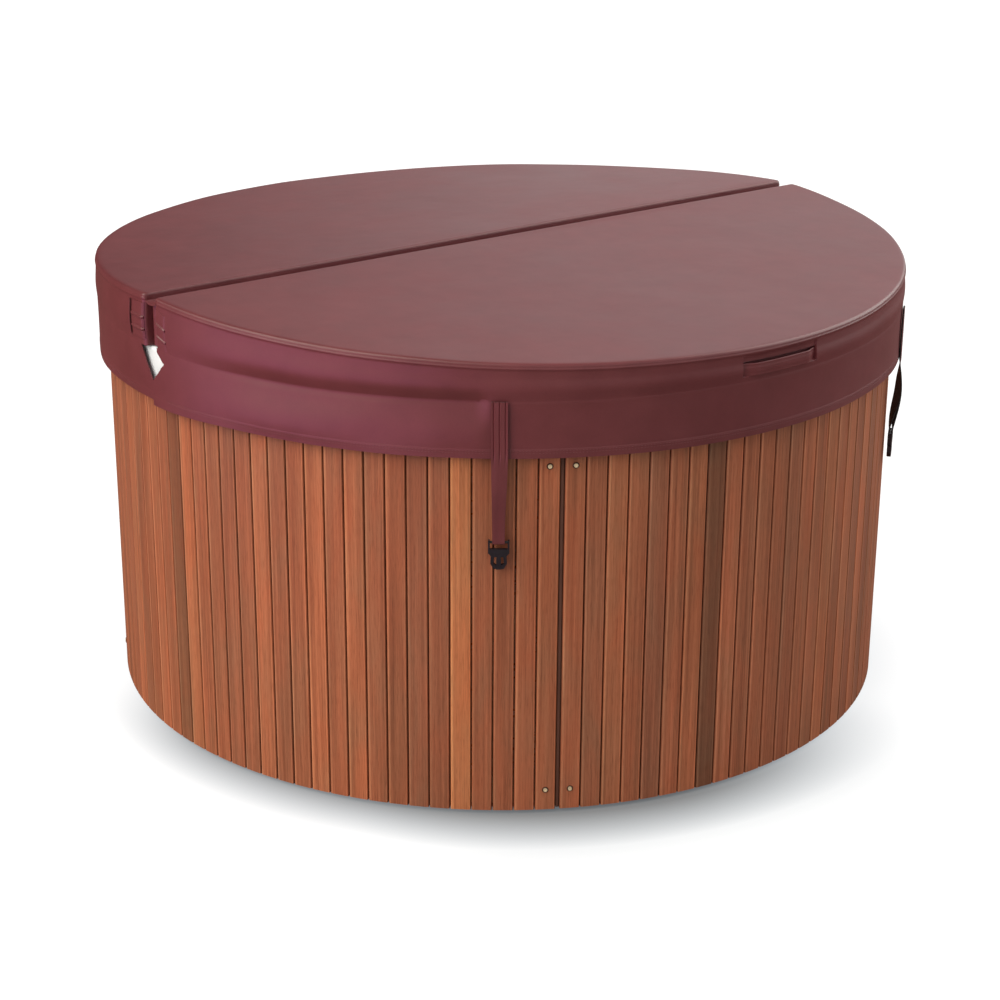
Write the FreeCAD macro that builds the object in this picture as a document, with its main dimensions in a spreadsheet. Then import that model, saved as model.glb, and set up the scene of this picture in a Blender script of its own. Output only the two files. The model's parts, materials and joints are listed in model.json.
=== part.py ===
import FreeCAD, Part
import math
import os

import Sketcher

V = FreeCAD.Vector
doc = FreeCAD.newDocument("hot_tub")
sheet = doc.addObject("Spreadsheet::Sheet", "dims")

# Sizes in mm and degrees, each written once
table = {
    # cabinet, from the outside inwards
    "clad_radius": 888,
    "slat_thick": 14,
    "slat_ease": 2.2,
    "slat_groove": 2,
    "slats_per_panel": 32,
    "seam_angle": 0.5,
    "seam_front": -120,
    "slat_bottom": 8,
    "slat_tuck": 30,
    "band_thick": 8,
    "band_height": 50,
    "band_mid": 400,
    "frame_depth": 30,
    "frame_height": 60,
    "rim_stud": 31,
    "rim_share": 0.7,
    "stud_width": 60,
    "stud_count": 16,
    "stud_angle": 5.6,
    "wrap_gap": 4,
    "wrap_thick": 3,
    "service_gap": 53,
    "base_thick": 14,
    "base_inset": 26,
    "screw_radius": 2,
    "screw_head": 4.2,
    "screw_low": 53,
    "screw_set": 25,
    # shell
    "tub_height": 889,
    "shell_thick": 6,
    "lip_gap": 2,
    "lip_height": 81,
    "bead_width": 20,
    "bead_height": 20,
    "deck_round": 22,
    "seat_height": 394,
    "bench_width": 358,
    "well_taper": 12,
    "support_inset": 52,
    "floor_height": 74,
    "shell_round": 36,
    # water fittings
    "jet_rise": 206,
    "jet_hole": 21,
    "jet_flange": 36,
    "jet_gasket": 6,
    "flange_thick": 7,
    "port_half": 26,
    "port_radius": 12,
    "port_bore": 6,
    "nozzle_radius": 17,
    "ring_pipe": 13,
    "pipe_radius": 17,
    "pipe_wall": 3,
    "water_drop": 60,
    "air_rise": 80,
    "stub_radius": 9,
    "stub_lap": 5,
    "filter_centre": 92,
    "filter_radius": 105,
    "filter_wall": 5,
    "filter_drop": 35,
    "filter_lid": 88,
    "cartridge_radius": 70,
    "cartridge_gap": 22,
    "mouth_drop": 140,
    "mouth_height": 90,
    "mouth_width": 104,
    "weir_rod": 4,
    "suction_height": 150,
    "suction_radius": 45,
    "suction_reach": 18,
    "light_radius": 31,
    "light_rise": 60,
    "pump_angle": -115,
    "pump_radius": 82,
    "pump_reach": 280,
    "wet_length": 105,
    "coupling_gap": 10,
    "outlet_set": 45,
    "motor_gap": 14,
    "volute_radius": 95,
    "impeller_radius": 70,
    "shaft_radius": 8,
    "heater_angle": -65,
    "heater_radius": 30,
    "heater_drop": 40,
    "heater_stub": 12,
    "box_depth": 150,
    "box_half": 140,
    "box_wall": 4,
    "box_gap": 30,
    "box_headroom": 40,
    "feed_height": 310,
    "return_drop": 65,
    "cross_rise": 46,
    "drain_height": 105,
    "drain_slat": 14.5,
    "power_slat": 18.5,
    "drain_pipe": 13,
    "drain_bore": 10,
    "drain_clear": 17,
    "thread_radius": 13.2,
    "thread_length": 14,
    "spout_reach": 18,
    "lever_length": 44,
    "lever_set": 11.5,
    "conduit_radius": 13.5,
    # controls on the deck
    "panel_length": 130,
    "panel_depth": 42,
    "panel_proud": 5,
    "button_radius": 8,
    "valve_radius": 16,
    "valve_drop": 70,
    "spindle_radius": 5,
    "knob_radius": 25,
    "knob_height": 11,
    "valve_angle": 22,
    # cover
    "cover_gap": 0.5,
    "cover_overhang": 12,
    "jacket_thick": 3,
    "fold_gap": 40,
    "fold_height": 113.5,
    "edge_height": 71,
    "edge_round": 9,
    "skirt_thick": 2.5,
    "skirt_drop": 111.5,
    "skirt_lengths": 12,
    "skirt_seam": 0.03,
    "notch_width": 42,
    "notch_corner": 5,
    "notch_height": 82,
    "hinge_drop": 11,
    "hinge_sag": 14,
    "hinge_thick": 3,
    "handle_length": 190,
    "handle_height": 34,
    "handle_low": 9,
    "handle_bow": 15,
    "handle_thick": 3,
    "strap_angle": 38,
    "strap_width": 32,
    "strap_thick": 1.8,
    "strap_drop": 300,
    "strap_lap": 4,
    "strap_loop": 11,
    "strap_open": 120,
    "buckle_width": 42,
    "buckle_length": 42,
    "buckle_thick": 9,
    # running clearance between pieces that move on each other
    "clearance": 0.4,
}
row = 1
for alias, number in table.items():
    sheet.set("A%d" % row, alias)
    sheet.set("B%d" % row, str(number))
    sheet.setAlias("B%d" % row, alias)
    row += 1
doc.recompute()


class Size:
    """A number with the sheet expression it comes from."""

    def __init__(self, value, text):
        self.value = value
        self.text = text

    def __add__(self, other):
        o = size(other)
        return Size(self.value + o.value, "(%s + %s)" % (self.text, o.text))

    def __radd__(self, other):
        return size(other) + self

    def __rmul__(self, other):
        return size(other) * self

    def __rsub__(self, other):
        return size(other) - self

    def __sub__(self, other):
        o = size(other)
        return Size(self.value - o.value, "(%s - %s)" % (self.text, o.text))

    def __mul__(self, other):
        o = size(other)
        return Size(self.value * o.value, "(%s * %s)" % (self.text, o.text))

    def __truediv__(self, other):
        o = size(other)
        return Size(self.value / o.value, "(%s / %s)" % (self.text, o.text))

    def __neg__(self):
        return Size(-self.value, "(0 - %s)" % self.text)


def size(x):
    return x if isinstance(x, Size) else Size(float(x), "%.6f" % x)


def d(alias):
    return Size(float(sheet.get(alias)), "dims." + alias)


def bind(obj, prop, value):
    value = size(value)
    setattr(obj, prop, value.value)
    if "dims." in value.text:
        obj.setExpression(prop, value.text)


def move(obj, x=0, y=0, z=0, turn=0, about=(0, 0, 1)):
    x, y, z, turn = size(x), size(y), size(z), size(turn)
    obj.Placement = FreeCAD.Placement(
        V(x.value, y.value, z.value), FreeCAD.Rotation(V(*about), turn.value)
    )
    for axis, value in zip("xyz", (x, y, z)):
        if "dims." in value.text:
            obj.setExpression("Placement.Base." + axis, value.text)
    if "dims." in turn.text:
        obj.setExpression("Placement.Rotation.Angle", turn.text)
    return obj


count = [0]


def fresh(kind, name):
    count[0] += 1
    return doc.addObject(kind, "%s_%d" % (name, count[0]))


def rod(radius, length, x=0, y=0, z=0, along="z"):
    """A cylinder from a point, along one axis."""
    c = fresh("Part::Cylinder", "rod")
    bind(c, "Radius", radius)
    bind(c, "Height", length)
    turns = {"z": (0, (0, 0, 1)), "x": (90, (0, 1, 0)), "y": (-90, (1, 0, 0))}
    return move(c, x, y, z, *turns[along])


def block(x0, x1, y0, y1, z0, z1):
    b = fresh("Part::Box", "block")
    bind(b, "Length", size(x1) - x0)
    bind(b, "Width", size(y1) - y0)
    bind(b, "Height", size(z1) - z0)
    return move(b, x0, y0, z0)


def ball(radius, x, y, z):
    b = fresh("Part::Sphere", "ball")
    bind(b, "Radius", radius)
    return move(b, x, y, z)


def bend(ring, pipe, z, start, sweep):
    """Part of a ring round the vertical axis."""
    t = fresh("Part::Torus", "bend")
    bind(t, "Radius1", ring)
    bind(t, "Radius2", pipe)
    t.Angle1 = 0
    t.Angle2 = 360
    bind(t, "Angle3", sweep)
    return move(t, 0, 0, z, start)


def fuse(*items):
    if len(items) == 1:
        return items[0]
    f = fresh("Part::MultiFuse", "fuse")
    f.Shapes = list(items)
    f.Refine = False
    return f


def cut(base, *tools):
    c = fresh("Part::Cut", "cut")
    c.Base = base
    c.Tool = fuse(*tools)
    return c


def common(a, b):
    c = fresh("Part::Common", "common")
    c.Base = a
    c.Tool = b
    return c


def group(*items):
    g = fresh("Part::Compound", "group")
    g.Links = list(items)
    return g


def tube(outer, inner, z0, z1):
    tall = size(z1) - z0
    return cut(rod(outer, tall, z=z0), rod(inner, tall + 2, z=size(z0) - 1))


def spun(items, angle):
    """A piece built along +X, turned to its place round the tub."""
    return move(group(*items) if len(items) > 1 else items[0], turn=angle)


def plane(body, role):
    return [f for f in body.Origin.OriginFeatures if f.Role == role][0]


def sketch(body, role, *loops):
    """Closed polygons whose corners are bound to the sheet."""
    s = body.newObject("Sketcher::SketchObject", "outline_%d" % count[0])
    count[0] += 1
    s.AttachmentSupport = [(plane(body, role), "")]
    s.MapMode = "FlatFace"
    for points in loops:
        points = [(size(a), size(b)) for a, b in points]
        first = s.GeometryCount
        n = len(points)
        for i in range(n):
            a = points[i]
            b = points[(i + 1) % n]
            s.addGeometry(Part.LineSegment(V(a[0].value, a[1].value, 0), V(b[0].value, b[1].value, 0)))
        for i in range(n):
            s.addConstraint(Sketcher.Constraint("Coincident", first + i, 2, first + (i + 1) % n, 1))
        for i in range(n):
            for kind, value, axis in zip(("DistanceX", "DistanceY"), points[i], (-2, -1)):
                if abs(value.value) < 1e-9:
                    s.addConstraint(Sketcher.Constraint("PointOnObject", first + i, 1, axis))
                    continue
                k = s.addConstraint(Sketcher.Constraint(kind, -1, 1, first + i, 1, value.value))
                if "dims." in value.text:
                    s.setExpression("Constraints[%d]" % k, value.text)
    return s


def new_body(name):
    count[0] += 1
    return doc.addObject("PartDesign::Body", "%s_body_%d" % (name, count[0]))


def pad(body, profile, length, both=False):
    p = body.newObject("PartDesign::Pad", "pad_%d" % count[0])
    count[0] += 1
    p.Profile = profile
    bind(p, "Length", length)
    if both:
        p.SideType = "Symmetric"
    return p


def revolve(body, profile, angle=360, start="V_Axis"):
    r = body.newObject("PartDesign::Revolution", "turn_%d" % count[0])
    count[0] += 1
    r.Profile = profile
    r.ReferenceAxis = (profile, [start])
    bind(r, "Angle", angle)
    return r


def polar(body, feature, angle, number, axis):
    p = body.newObject("PartDesign::PolarPattern", "around_%d" % count[0])
    count[0] += 1
    p.Originals = [feature]
    p.Axis = axis
    bind(p, "Angle", angle)
    p.setExpression("Occurrences", size(number).text)
    p.Occurrences = int(round(size(number).value))
    body.Tip = p
    return p


def fillet(body, radius, chosen):
    """Rounds the edges of the body's last feature that the test picks."""
    doc.recompute()
    tip = body.Tip
    names = [
        "Edge%d" % (i + 1) for i, e in enumerate(tip.Shape.Edges) if chosen(e)
    ]
    f = body.newObject("PartDesign::Fillet", "round_%d" % count[0])
    count[0] += 1
    f.Base = (tip, names)
    bind(f, "Radius", radius)
    return f


nodes = {}


def node(name, obj):
    obj.Label = name
    nodes[name] = obj
    return obj


# Places that several pieces share
slat_back = d("clad_radius") - d("slat_thick")
band_in = slat_back - d("band_thick")
frame_in = band_in - d("frame_depth")
wrap_out = frame_in - d("wrap_gap")
wrap_in = wrap_out - d("wrap_thick")
wall_out = wrap_in - d("service_gap")
wall_in = wall_out - d("shell_thick")
ring_radius = wall_out + d("service_gap") * 0.57
well = wall_in - d("bench_width")
well_foot = well - d("well_taper")
lip_in = d("clad_radius") + d("lip_gap")
lip_out = lip_in + d("shell_thick")
deck = d("tub_height") - d("bead_height")
under_deck = deck - d("shell_thick")
bead_in = lip_out - d("bead_width") - d("shell_thick") * 1.2
pitch = (size(90) - d("seam_angle")) / d("slats_per_panel")
slat_width = d("clad_radius") * pitch * (math.pi / 180) - d("slat_groove")
frame_base = d("base_thick")
rim_low = under_deck - d("frame_height") * d("rim_share")
upper_low = rim_low - d("rim_stud") - d("frame_height")
screw_high = upper_low + d("screw_set")
lip_low = d("tub_height") - d("lip_height")
slat_top = lip_low + d("slat_tuck")
panel_starts = {
    "left": d("seam_front") - 90,
    "front": d("seam_front"),
    "right": d("seam_front") + 90,
    "back": d("seam_front") + 180,
}


def slat_angle(panel, number):
    return panel_starts[panel] + d("seam_angle") / 2 + pitch * number


drain_angle = slat_angle("back", d("drain_slat"))
power_angle = slat_angle("back", d("power_slat"))

# Carcass: base pan, timber rings and studs
base_radius = d("clad_radius") - d("base_inset")
base = new_body("base_pan")
revolve(
    base,
    sketch(
        base,
        "XZ_Plane",
        [
            (0, 0),
            (base_radius - 4, 0),
            (base_radius, 4),
            (base_radius, d("base_thick")),
            (0, d("base_thick")),
        ],
    ),
)
node("base_pan", base)

screw_spots = []
for panel in panel_starts:
    for number in (size(0.5), d("slats_per_panel") - 0.5):
        for height in (d("screw_low"), screw_high):
            screw_spots.append((slat_angle(panel, number), height))
screw_deep = d("slat_thick") + d("band_thick") + d("frame_depth") * 0.7
screw_holes = []
for angle, height in screw_spots:
    hole = rod(d("screw_radius") + 0.1, screw_deep + 2, d("clad_radius") - screw_deep, 0, height, "x")
    screw_holes.append(spun([group(hole)], angle))
screw_holes = group(*screw_holes)

rings = new_body("frame_rings")
ring_tall = d("frame_height")
revolve(
    rings,
    sketch(
        rings,
        "XZ_Plane",
        *[
            [(frame_in, low), (band_in, low), (band_in, high), (frame_in, high)]
            for low, high in (
                (frame_base, frame_base + ring_tall),
                (upper_low, upper_low + ring_tall),
                (rim_low, under_deck),
            )
        ]
    ),
)
node("frame_rings", cut(rings, screw_holes))

studs = new_body("frame_studs")
stud_out = band_in - 1.5


def stud(low, high):
    s = sketch(
        studs,
        "XZ_Plane",
        [(frame_in, low), (stud_out, low), (stud_out, high), (frame_in, high)],
    )
    one = pad(studs, s, d("stud_width"), both=True)
    around = size(360)
    return polar(studs, one, around, d("stud_count"), (s, ["V_Axis"]))


stud(frame_base + ring_tall, upper_low)
stud(upper_low + ring_tall, rim_low)
node("frame_studs", move(studs, turn=d("stud_angle")))

support = rod(
    well - d("support_inset"), d("floor_height") - d("shell_thick") - d("base_thick"), 0, 0, d("base_thick")
)
node("footwell_support", support)

# Cladding: four panels of boards on backing bands
drain_hole = spun([group(rod(d("drain_clear"), 80, slat_back - 60, 0, d("drain_height"), "x"))], drain_angle)
power_hole = spun([group(rod(d("drain_clear"), 80, slat_back - 60, 0, d("drain_height"), "x"))], power_angle)
half = slat_width / 2
ease = d("slat_ease")
face = d("clad_radius")
for panel, start in panel_starts.items():
    boards = new_body("slats_" + panel)
    board = sketch(
        boards,
        "XY_Plane",
        [
            (slat_back, -half),
            (face - ease, -half),
            (face, -half + ease),
            (face, half - ease),
            (face - ease, half),
            (slat_back, half),
        ],
    )
    one = pad(boards, board, slat_top - d("slat_bottom"))
    polar(boards, one, pitch * (d("slats_per_panel") - 1), d("slats_per_panel"), (board, ["N_Axis"]))
    move(boards, 0, 0, d("slat_bottom"), slat_angle(panel, 0.5))
    holes = [screw_holes]
    if panel == "back":
        holes += [drain_hole, power_hole]
    node("slats_" + panel, cut(boards, *holes))

bands = new_body("slat_bands")
band_tall = d("band_height")
band_low = d("screw_low") - band_tall / 2
band_high = screw_high - band_tall / 2
band_turn = revolve(
    bands,
    sketch(
        bands,
        "XZ_Plane",
        *[
            [(band_in, low), (slat_back, low), (slat_back, low + band_tall), (band_in, low + band_tall)]
            for low in (band_low, d("band_mid"), band_high)
        ]
    ),
    size(90) - d("seam_angle"),
)
doc.recompute()
polar(bands, band_turn, 360, 4, (band_turn.Profile[0], ["V_Axis"]))
move(bands, turn=d("seam_front") + d("seam_angle") / 2)
node("slat_bands", cut(bands, screw_holes))

screws = []
for angle, height in screw_spots:
    shank = rod(d("screw_radius"), screw_deep - 1, d("clad_radius") - screw_deep + 1, 0, height, "x")
    head = rod(d("screw_head"), 2.2, d("clad_radius"), 0, height, "x")
    drive = rod(d("screw_head") * 0.4, 1.4, d("clad_radius") + 1, 0, height, "x")
    screws.append(spun([cut(fuse(shank, head), drive)], angle))
node("slat_screws", group(*screws))

wrap = tube(wrap_out, wrap_in, frame_base + 6, rim_low)
node("insulation_wrap", cut(wrap, drain_hole, power_hole))

# Shell: rim bead, deck, wall, bench and footwell, 6 mm thick
skin = d("shell_thick")
seat = d("seat_height")
floor = d("floor_height")
bead_top = d("tub_height")
shell_body = new_body("tub_shell")
revolve(
    shell_body,
    sketch(
        shell_body,
        "XZ_Plane",
        [
            (lip_out, lip_low),
            (lip_out, bead_top),
            (bead_in + skin * 1.6, bead_top),
            (bead_in, deck),
            (wall_in, deck),
            (wall_in, seat),
            (well, seat),
            (well_foot, floor),
            (0, floor),
            (0, floor - skin),
            (well_foot + skin, floor - skin),
            (well + skin, seat - skin),
            (wall_out, seat - skin),
            (wall_out, under_deck),
            (lip_in, under_deck),
            (lip_in, lip_low),
        ],
    ),
)


def at(e, r, z, near=0.6):
    """Whether an edge is the circle of this radius at this height."""
    r, z = size(r).value, size(z).value
    if not hasattr(e.Curve, "Radius"):
        return False
    return abs(e.Curve.Radius - r) < near and abs(e.BoundBox.ZMin - z) < near and e.BoundBox.ZLength < near


fillet(
    shell_body,
    d("shell_round"),
    lambda e: at(e, wall_in, seat) or at(e, well, seat) or at(e, well_foot, floor),
)
fillet(shell_body, d("deck_round"), lambda e: at(e, wall_in, deck))
fillet(
    shell_body,
    d("bead_height") * 0.3,
    lambda e: at(e, lip_out, bead_top) or at(e, bead_in + skin * 1.6, bead_top),
)
jet_angles = [45, 135, 225, 315]
jet = seat + d("jet_rise")
water = jet - d("water_drop")
air = jet + d("air_rise")
back_z = water - d("return_drop")
jet_tools = []
for angle in jet_angles:
    jet_tools.append(spun([group(rod(d("jet_hole"), 40, wall_in - 20, 0, jet, "x"))], angle))
suction_angles = [d("pump_angle"), d("pump_angle") + 50]
suction_x = well_foot
cover_end = suction_x + d("suction_reach")
suction_tools = []
for angle in suction_angles:
    suction_tools.append(
        spun([group(rod(d("pipe_radius") + 2, 60, suction_x - 25, 0, d("suction_height"), "x"))], angle)
    )
light_angle = size(90)
light_z = d("suction_height") + d("light_rise")
light_hole = spun([group(rod(d("light_radius") + 1, 60, suction_x - 20, 0, light_z, "x"))], light_angle)
filter_angle = size(90)
filter_hole = spun([group(rod(d("pipe_radius") + 1, 40, wall_in - 20, 0, back_z, "x"))], filter_angle)
drain_port = spun([group(rod(d("drain_pipe") + 1, 60, suction_x - 25, 0, d("drain_height"), "x"))], drain_angle)
panel_mid = wall_out + d("panel_depth") / 2 + 12
panel_half = d("panel_length") / 2
panel_deep = d("panel_depth") / 2
panel_hole = block(
    panel_mid - panel_deep + 4,
    panel_mid + panel_deep - 4,
    -panel_half + 5,
    panel_half - 5,
    under_deck - 1,
    deck + 1,
)
valve_holes = [
    spun([group(rod(d("valve_radius") + 0.5, 10, ring_radius, 0, under_deck - 2))], a)
    for a in (d("valve_angle"), -d("valve_angle"))
]
shell = cut(
    shell_body, *jet_tools, *suction_tools, light_hole, filter_hole, drain_port, panel_hole, *valve_holes
)
node("tub_shell", shell)

# Jets: gasket, threaded body with water and air ports, and the nozzle that turns in it
flange_back = wall_in - d("jet_gasket")
flange_front = flange_back - d("flange_thick")
port_end = d("port_half")
bodies = []
gaskets = []
for index, angle in enumerate(jet_angles):
    flange = rod(d("jet_flange"), flange_back - flange_front, flange_front, 0, jet, "x")
    sleeve = rod(d("jet_hole") - 0.5, ring_radius + 14 - flange_front, flange_front, 0, jet, "x")
    ports = rod(d("port_radius"), port_end * 2, ring_radius, 0, jet - port_end)
    recess = rod(d("nozzle_radius") + d("clearance"), ring_radius - flange_front, flange_front - 4, 0, jet, "x")
    bore = rod(d("port_bore"), port_end * 2 + 2, ring_radius, 0, jet - port_end - 1)
    bodies.append(spun([cut(fuse(flange, sleeve, ports), recess, bore)], angle))
    ring = cut(
        rod(d("jet_flange") - 2, 12, flange_back, 0, jet, "x"),
        rod(d("jet_hole"), 14, flange_back - 1, 0, jet, "x"),
    )
    gaskets.append(spun([common(ring, rod(wall_in, 100, 0, 0, jet - 50))], angle))
    face_back = flange_back + 4
    nozzle = new_body("jet_nozzle")
    nose = flange_front - 5
    nr = d("nozzle_radius")
    revolve(
        nozzle,
        sketch(
            nozzle,
            "XZ_Plane",
            [
                (nose + 3, 0),
                (nose + 3, nr * 0.3),
                (nose, nr * 0.5),
                (nose, nr * 0.8),
                (nose + 3, nr),
                (face_back + 18, nr),
                (face_back + 18, 0),
            ],
        ),
        360,
        "H_Axis",
    )
    outlets = []
    for turn in (0, 120, 240):
        c, s = math.cos(math.radians(turn)), math.sin(math.radians(turn))
        outlets.append(rod(nr * 0.22, 60, nose - 5, nr * (0.64 * c), nr * (0.64 * s), "x"))
    piece = cut(nozzle, *outlets)
    node("jet_nozzle_%d" % (index + 1), move(group(move(piece, 0, 0, jet)), turn=angle))
node("jet_bodies", group(*bodies))
node("jet_gaskets", group(*gaskets))

# Manifold rings behind the wall, with a stub to each jet and valve
pr = d("ring_pipe")
valve_low = deck - d("valve_drop")
lap = d("stub_lap")
rise = jet - port_end - water + lap
fall = air - (jet + port_end) + lap
heat_angle = d("heater_angle")
stubs_w = [spun([group(rod(d("stub_radius"), rise, ring_radius, 0, water - lap))], a) for a in jet_angles]
valve_feed = rod(d("stub_radius"), valve_low - water + lap, ring_radius, 0, water - lap)
stubs_w.append(spun([group(valve_feed)], -d("valve_angle")))
stubs_w.append(spun([group(rod(d("pipe_radius") - 4, 40, ring_radius, 0, water - 40))], heat_angle))
stubs_a = [spun([group(rod(d("stub_radius"), fall, ring_radius, 0, jet + port_end))], a) for a in jet_angles]
air_feed = rod(d("stub_radius"), valve_low - air + lap, ring_radius, 0, air - lap)
stubs_a.append(spun([group(air_feed)], d("valve_angle")))
water_pipe = fuse(bend(ring_radius, pr, water, 6, 348), *stubs_w)
air_pipe = fuse(bend(ring_radius, pr, air, 10, 315), *stubs_a)
node("manifold_rings", group(water_pipe, air_pipe))

# Valve bodies under the deck, and their knobs
valves = []
for name, sign in (("air_knob", 1), ("diverter_knob", -1)):
    low_part = rod(d("valve_radius"), under_deck - valve_low, ring_radius, 0, valve_low)
    neck = rod(d("valve_radius"), d("shell_thick") + 2, ring_radius, 0, under_deck)
    plate = rod(d("valve_radius") + 5, 2, ring_radius, 0, deck)
    spindle = rod(d("spindle_radius") + d("clearance"), 40, ring_radius, 0, deck - 26)
    valves.append(spun([cut(fuse(low_part, neck, plate), spindle)], d("valve_angle") * sign))
    knob = new_body(name)
    kr = d("knob_radius")
    kz = deck + 2 + d("clearance")
    top = kz + d("knob_height")
    revolve(
        knob,
        sketch(
            knob,
            "XZ_Plane",
            [
                (0, deck - 25),
                (d("spindle_radius"), deck - 25),
                (d("spindle_radius"), kz),
                (kr - 1.5, kz),
                (kr, kz + 1.5),
                (kr, top - 4),
                (kr - 3, top),
                (kr - 9, top),
                (kr - 11, top - 2),
                (0, top - 2),
            ],
        ),
    )
    grips = []
    for turn in range(0, 360, 45):
        c, s = math.cos(math.radians(turn)), math.sin(math.radians(turn))
        grips.append(rod(5, 30, (kr + 3.2) * c, (kr + 3.2) * s, kz - 1))
    bar = block(-kr + 10, kr - 10, -3.5, 3.5, top - 3, top + 1)
    made = cut(fuse(knob, bar), *grips)
    node(name, move(group(move(made, ring_radius, 0, 0)), turn=d("valve_angle") * sign))
node("valve_bodies", group(*valves))

# Topside control: housing, display window and three buttons
proud = d("panel_proud")
case_low = deck - 24
upper = block(panel_mid - panel_deep, panel_mid + panel_deep, -panel_half, panel_half, deck, deck + proud)
lower = block(
    panel_mid - panel_deep + 5, panel_mid + panel_deep - 5, -panel_half + 6, panel_half - 6, case_low, deck
)
br = d("button_radius")
button_spots = {
    "button_jets": -panel_half + 18,
    "button_light": panel_half - 36,
    "button_temp": panel_half - 15,
}
wells = [rod(br + d("clearance"), 60, panel_mid, y, deck - 12) for y in button_spots.values()]
glass_half = size(13)
glass_from = -panel_half + 33
glass_to = panel_half - 51
glass_low = deck + proud - 3
window = block(
    panel_mid - glass_half, panel_mid + glass_half, glass_from, glass_to, glass_low, deck + proud + 5
)
node("control_panel", cut(fuse(upper, lower), window, *wells))
lens = block(
    panel_mid - glass_half + d("clearance"),
    panel_mid + glass_half - d("clearance"),
    glass_from + d("clearance"),
    glass_to - d("clearance"),
    glass_low,
    deck + proud - 0.4,
)
node("display_window", lens)
for name, y in button_spots.items():
    cap = new_body(name)
    low = deck - 12 + 2.5
    top = deck + proud + 1.6
    revolve(
        cap,
        sketch(cap, "XZ_Plane", [(0, low), (br, low), (br, top - 1), (br - 1, top), (0, top - 0.5)]),
    )
    node(name, move(cap, panel_mid, y, 0))

# Filter: housing on the bench against the wall, cartridge, weir and twist lid
fx = wall_in - d("filter_centre")
fr = d("filter_radius")
fw = d("filter_wall")
f_low = seat
f_top = deck - d("filter_drop")
f_tall = f_top - f_low
trim = rod(wall_in - 0.2, f_tall + 60, 0, 0, f_low - 1)
shaft = cut(common(rod(fr, f_tall, fx, 0, f_low), trim), shell_body)
lid_r = d("filter_lid")
f_floor = f_low + d("shell_round") + 2
hollow = common(
    rod(fr - fw, f_top - 12 - f_floor, fx, 0, f_floor),
    rod(wall_in - fw, f_tall, 0, 0, f_low),
)
lid_hole = rod(lid_r - 6, 40, fx, 0, f_top - 20)
lid_seat = rod(lid_r + d("clearance"), 10, fx, 0, f_top - 8)
mouth_low = f_top - d("mouth_drop")
mouth_top = mouth_low + d("mouth_height")
mouth_half = d("mouth_width") / 2
mouth = block(fx - fr - 5, fx - 40, -mouth_half, mouth_half, mouth_low, mouth_top)
back_port = rod(d("pipe_radius") + 1, 90, fx + 30, 0, back_z, "x")
rod_x = fx - 70
rod_z = mouth_low + 2
lugs = []
for low, high in ((mouth_half + 0.5, mouth_half + 9), (-mouth_half - 9, -mouth_half - 0.5)):
    lugs.append(block(rod_x - 18, rod_x + 8, low, high, rod_z - 9, rod_z + 9))
lugs = common(fuse(*lugs), rod(fr - 1, 200, fx, 0, rod_z - 100))
pin_hole = rod(d("weir_rod") + d("clearance"), mouth_half * 2 + 16, rod_x, -mouth_half - 8, rod_z, "y")
housing = cut(fuse(cut(shaft, hollow, lid_hole, lid_seat, mouth, back_port), lugs), pin_hole)
node("filter_housing", spun([group(housing)], filter_angle))
cart_r = d("cartridge_radius")
cart_long = mouth_low - d("cartridge_gap") - f_floor
cartridge = cut(
    rod(cart_r, cart_long, 0, 0, f_floor),
    rod(24, cart_long + 10, 0, 0, f_floor - 1),
)
rib_body = new_body("cartridge_ribs")
rib = sketch(
    rib_body,
    "XZ_Plane",
    [
        (cart_r - 9, f_floor + 16),
        (cart_r + 4, f_floor + 16),
        (cart_r + 4, f_floor + cart_long - 16),
        (cart_r - 9, f_floor + cart_long - 16),
    ],
)
rib_pad = pad(rib_body, rib, cart_r * 0.09, both=True)
polar(rib_body, rib_pad, 360, 36, (rib, ["V_Axis"]))
made = cut(cartridge, rib_body)
node("filter_cartridge", spun([group(move(made, fx, 0, 0))], filter_angle))
weir = fuse(
    rod(d("weir_rod"), mouth_half * 2 + 14, rod_x, -mouth_half - 7, rod_z, "y"),
    block(rod_x - 2.5, rod_x + 2.5, -mouth_half + 1, mouth_half - 1, rod_z, mouth_top - 6),
    block(rod_x - 6, rod_x + 6, -mouth_half + 3, mouth_half - 3, mouth_top - 34, mouth_top - 10),
)
node("skimmer_weir", spun([group(weir)], filter_angle))
lid = fuse(
    rod(lid_r, 6, fx, 0, f_top - 8),
    block(fx - lid_r * 0.6, fx + lid_r * 0.6, -7, 7, f_top - 3, f_top + 12),
)
node("filter_lid", spun([group(lid)], filter_angle))

# Suction covers and light in the footwell
covers = []
for angle in suction_angles:
    dome = new_body("suction_cover")
    sr = d("suction_radius")
    wall_x = suction_x - 3
    revolve(
        dome,
        sketch(
            dome,
            "XZ_Plane",
            [
                (wall_x, 0),
                (wall_x, sr),
                (wall_x - 6, sr),
                (wall_x - 14, sr * 0.7),
                (wall_x - 17, 0),
            ],
        ),
        360,
        "H_Axis",
    )
    slots = []
    for step in (-2, -1, 0, 1, 2):
        slot_y = sr * (step * 0.28)
        slots.append(block(wall_x - 20, wall_x - 4, slot_y - 3, slot_y + 3, -sr * 0.6, sr * 0.6))
    throat = rod(d("pipe_radius") - 3, 40, wall_x - 8, 0, 0, "x")
    stem = cut(
        rod(d("pipe_radius") + 1, 60, wall_x - 2, 0, 0, "x"),
        rod(d("pipe_radius") - 3, 70, wall_x - 8, 0, 0, "x"),
    )
    face_piece = cut(dome, throat, *slots)
    piece = fuse(face_piece, cut(stem, rod(d("pipe_radius") + 9, 60, cover_end, 0, 0, "x")))
    covers.append(move(group(move(piece, 0, 0, d("suction_height"))), turn=angle))
node("suction_covers", group(*covers))
glass = new_body("light_lens")
lx = suction_x + 5
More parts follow.
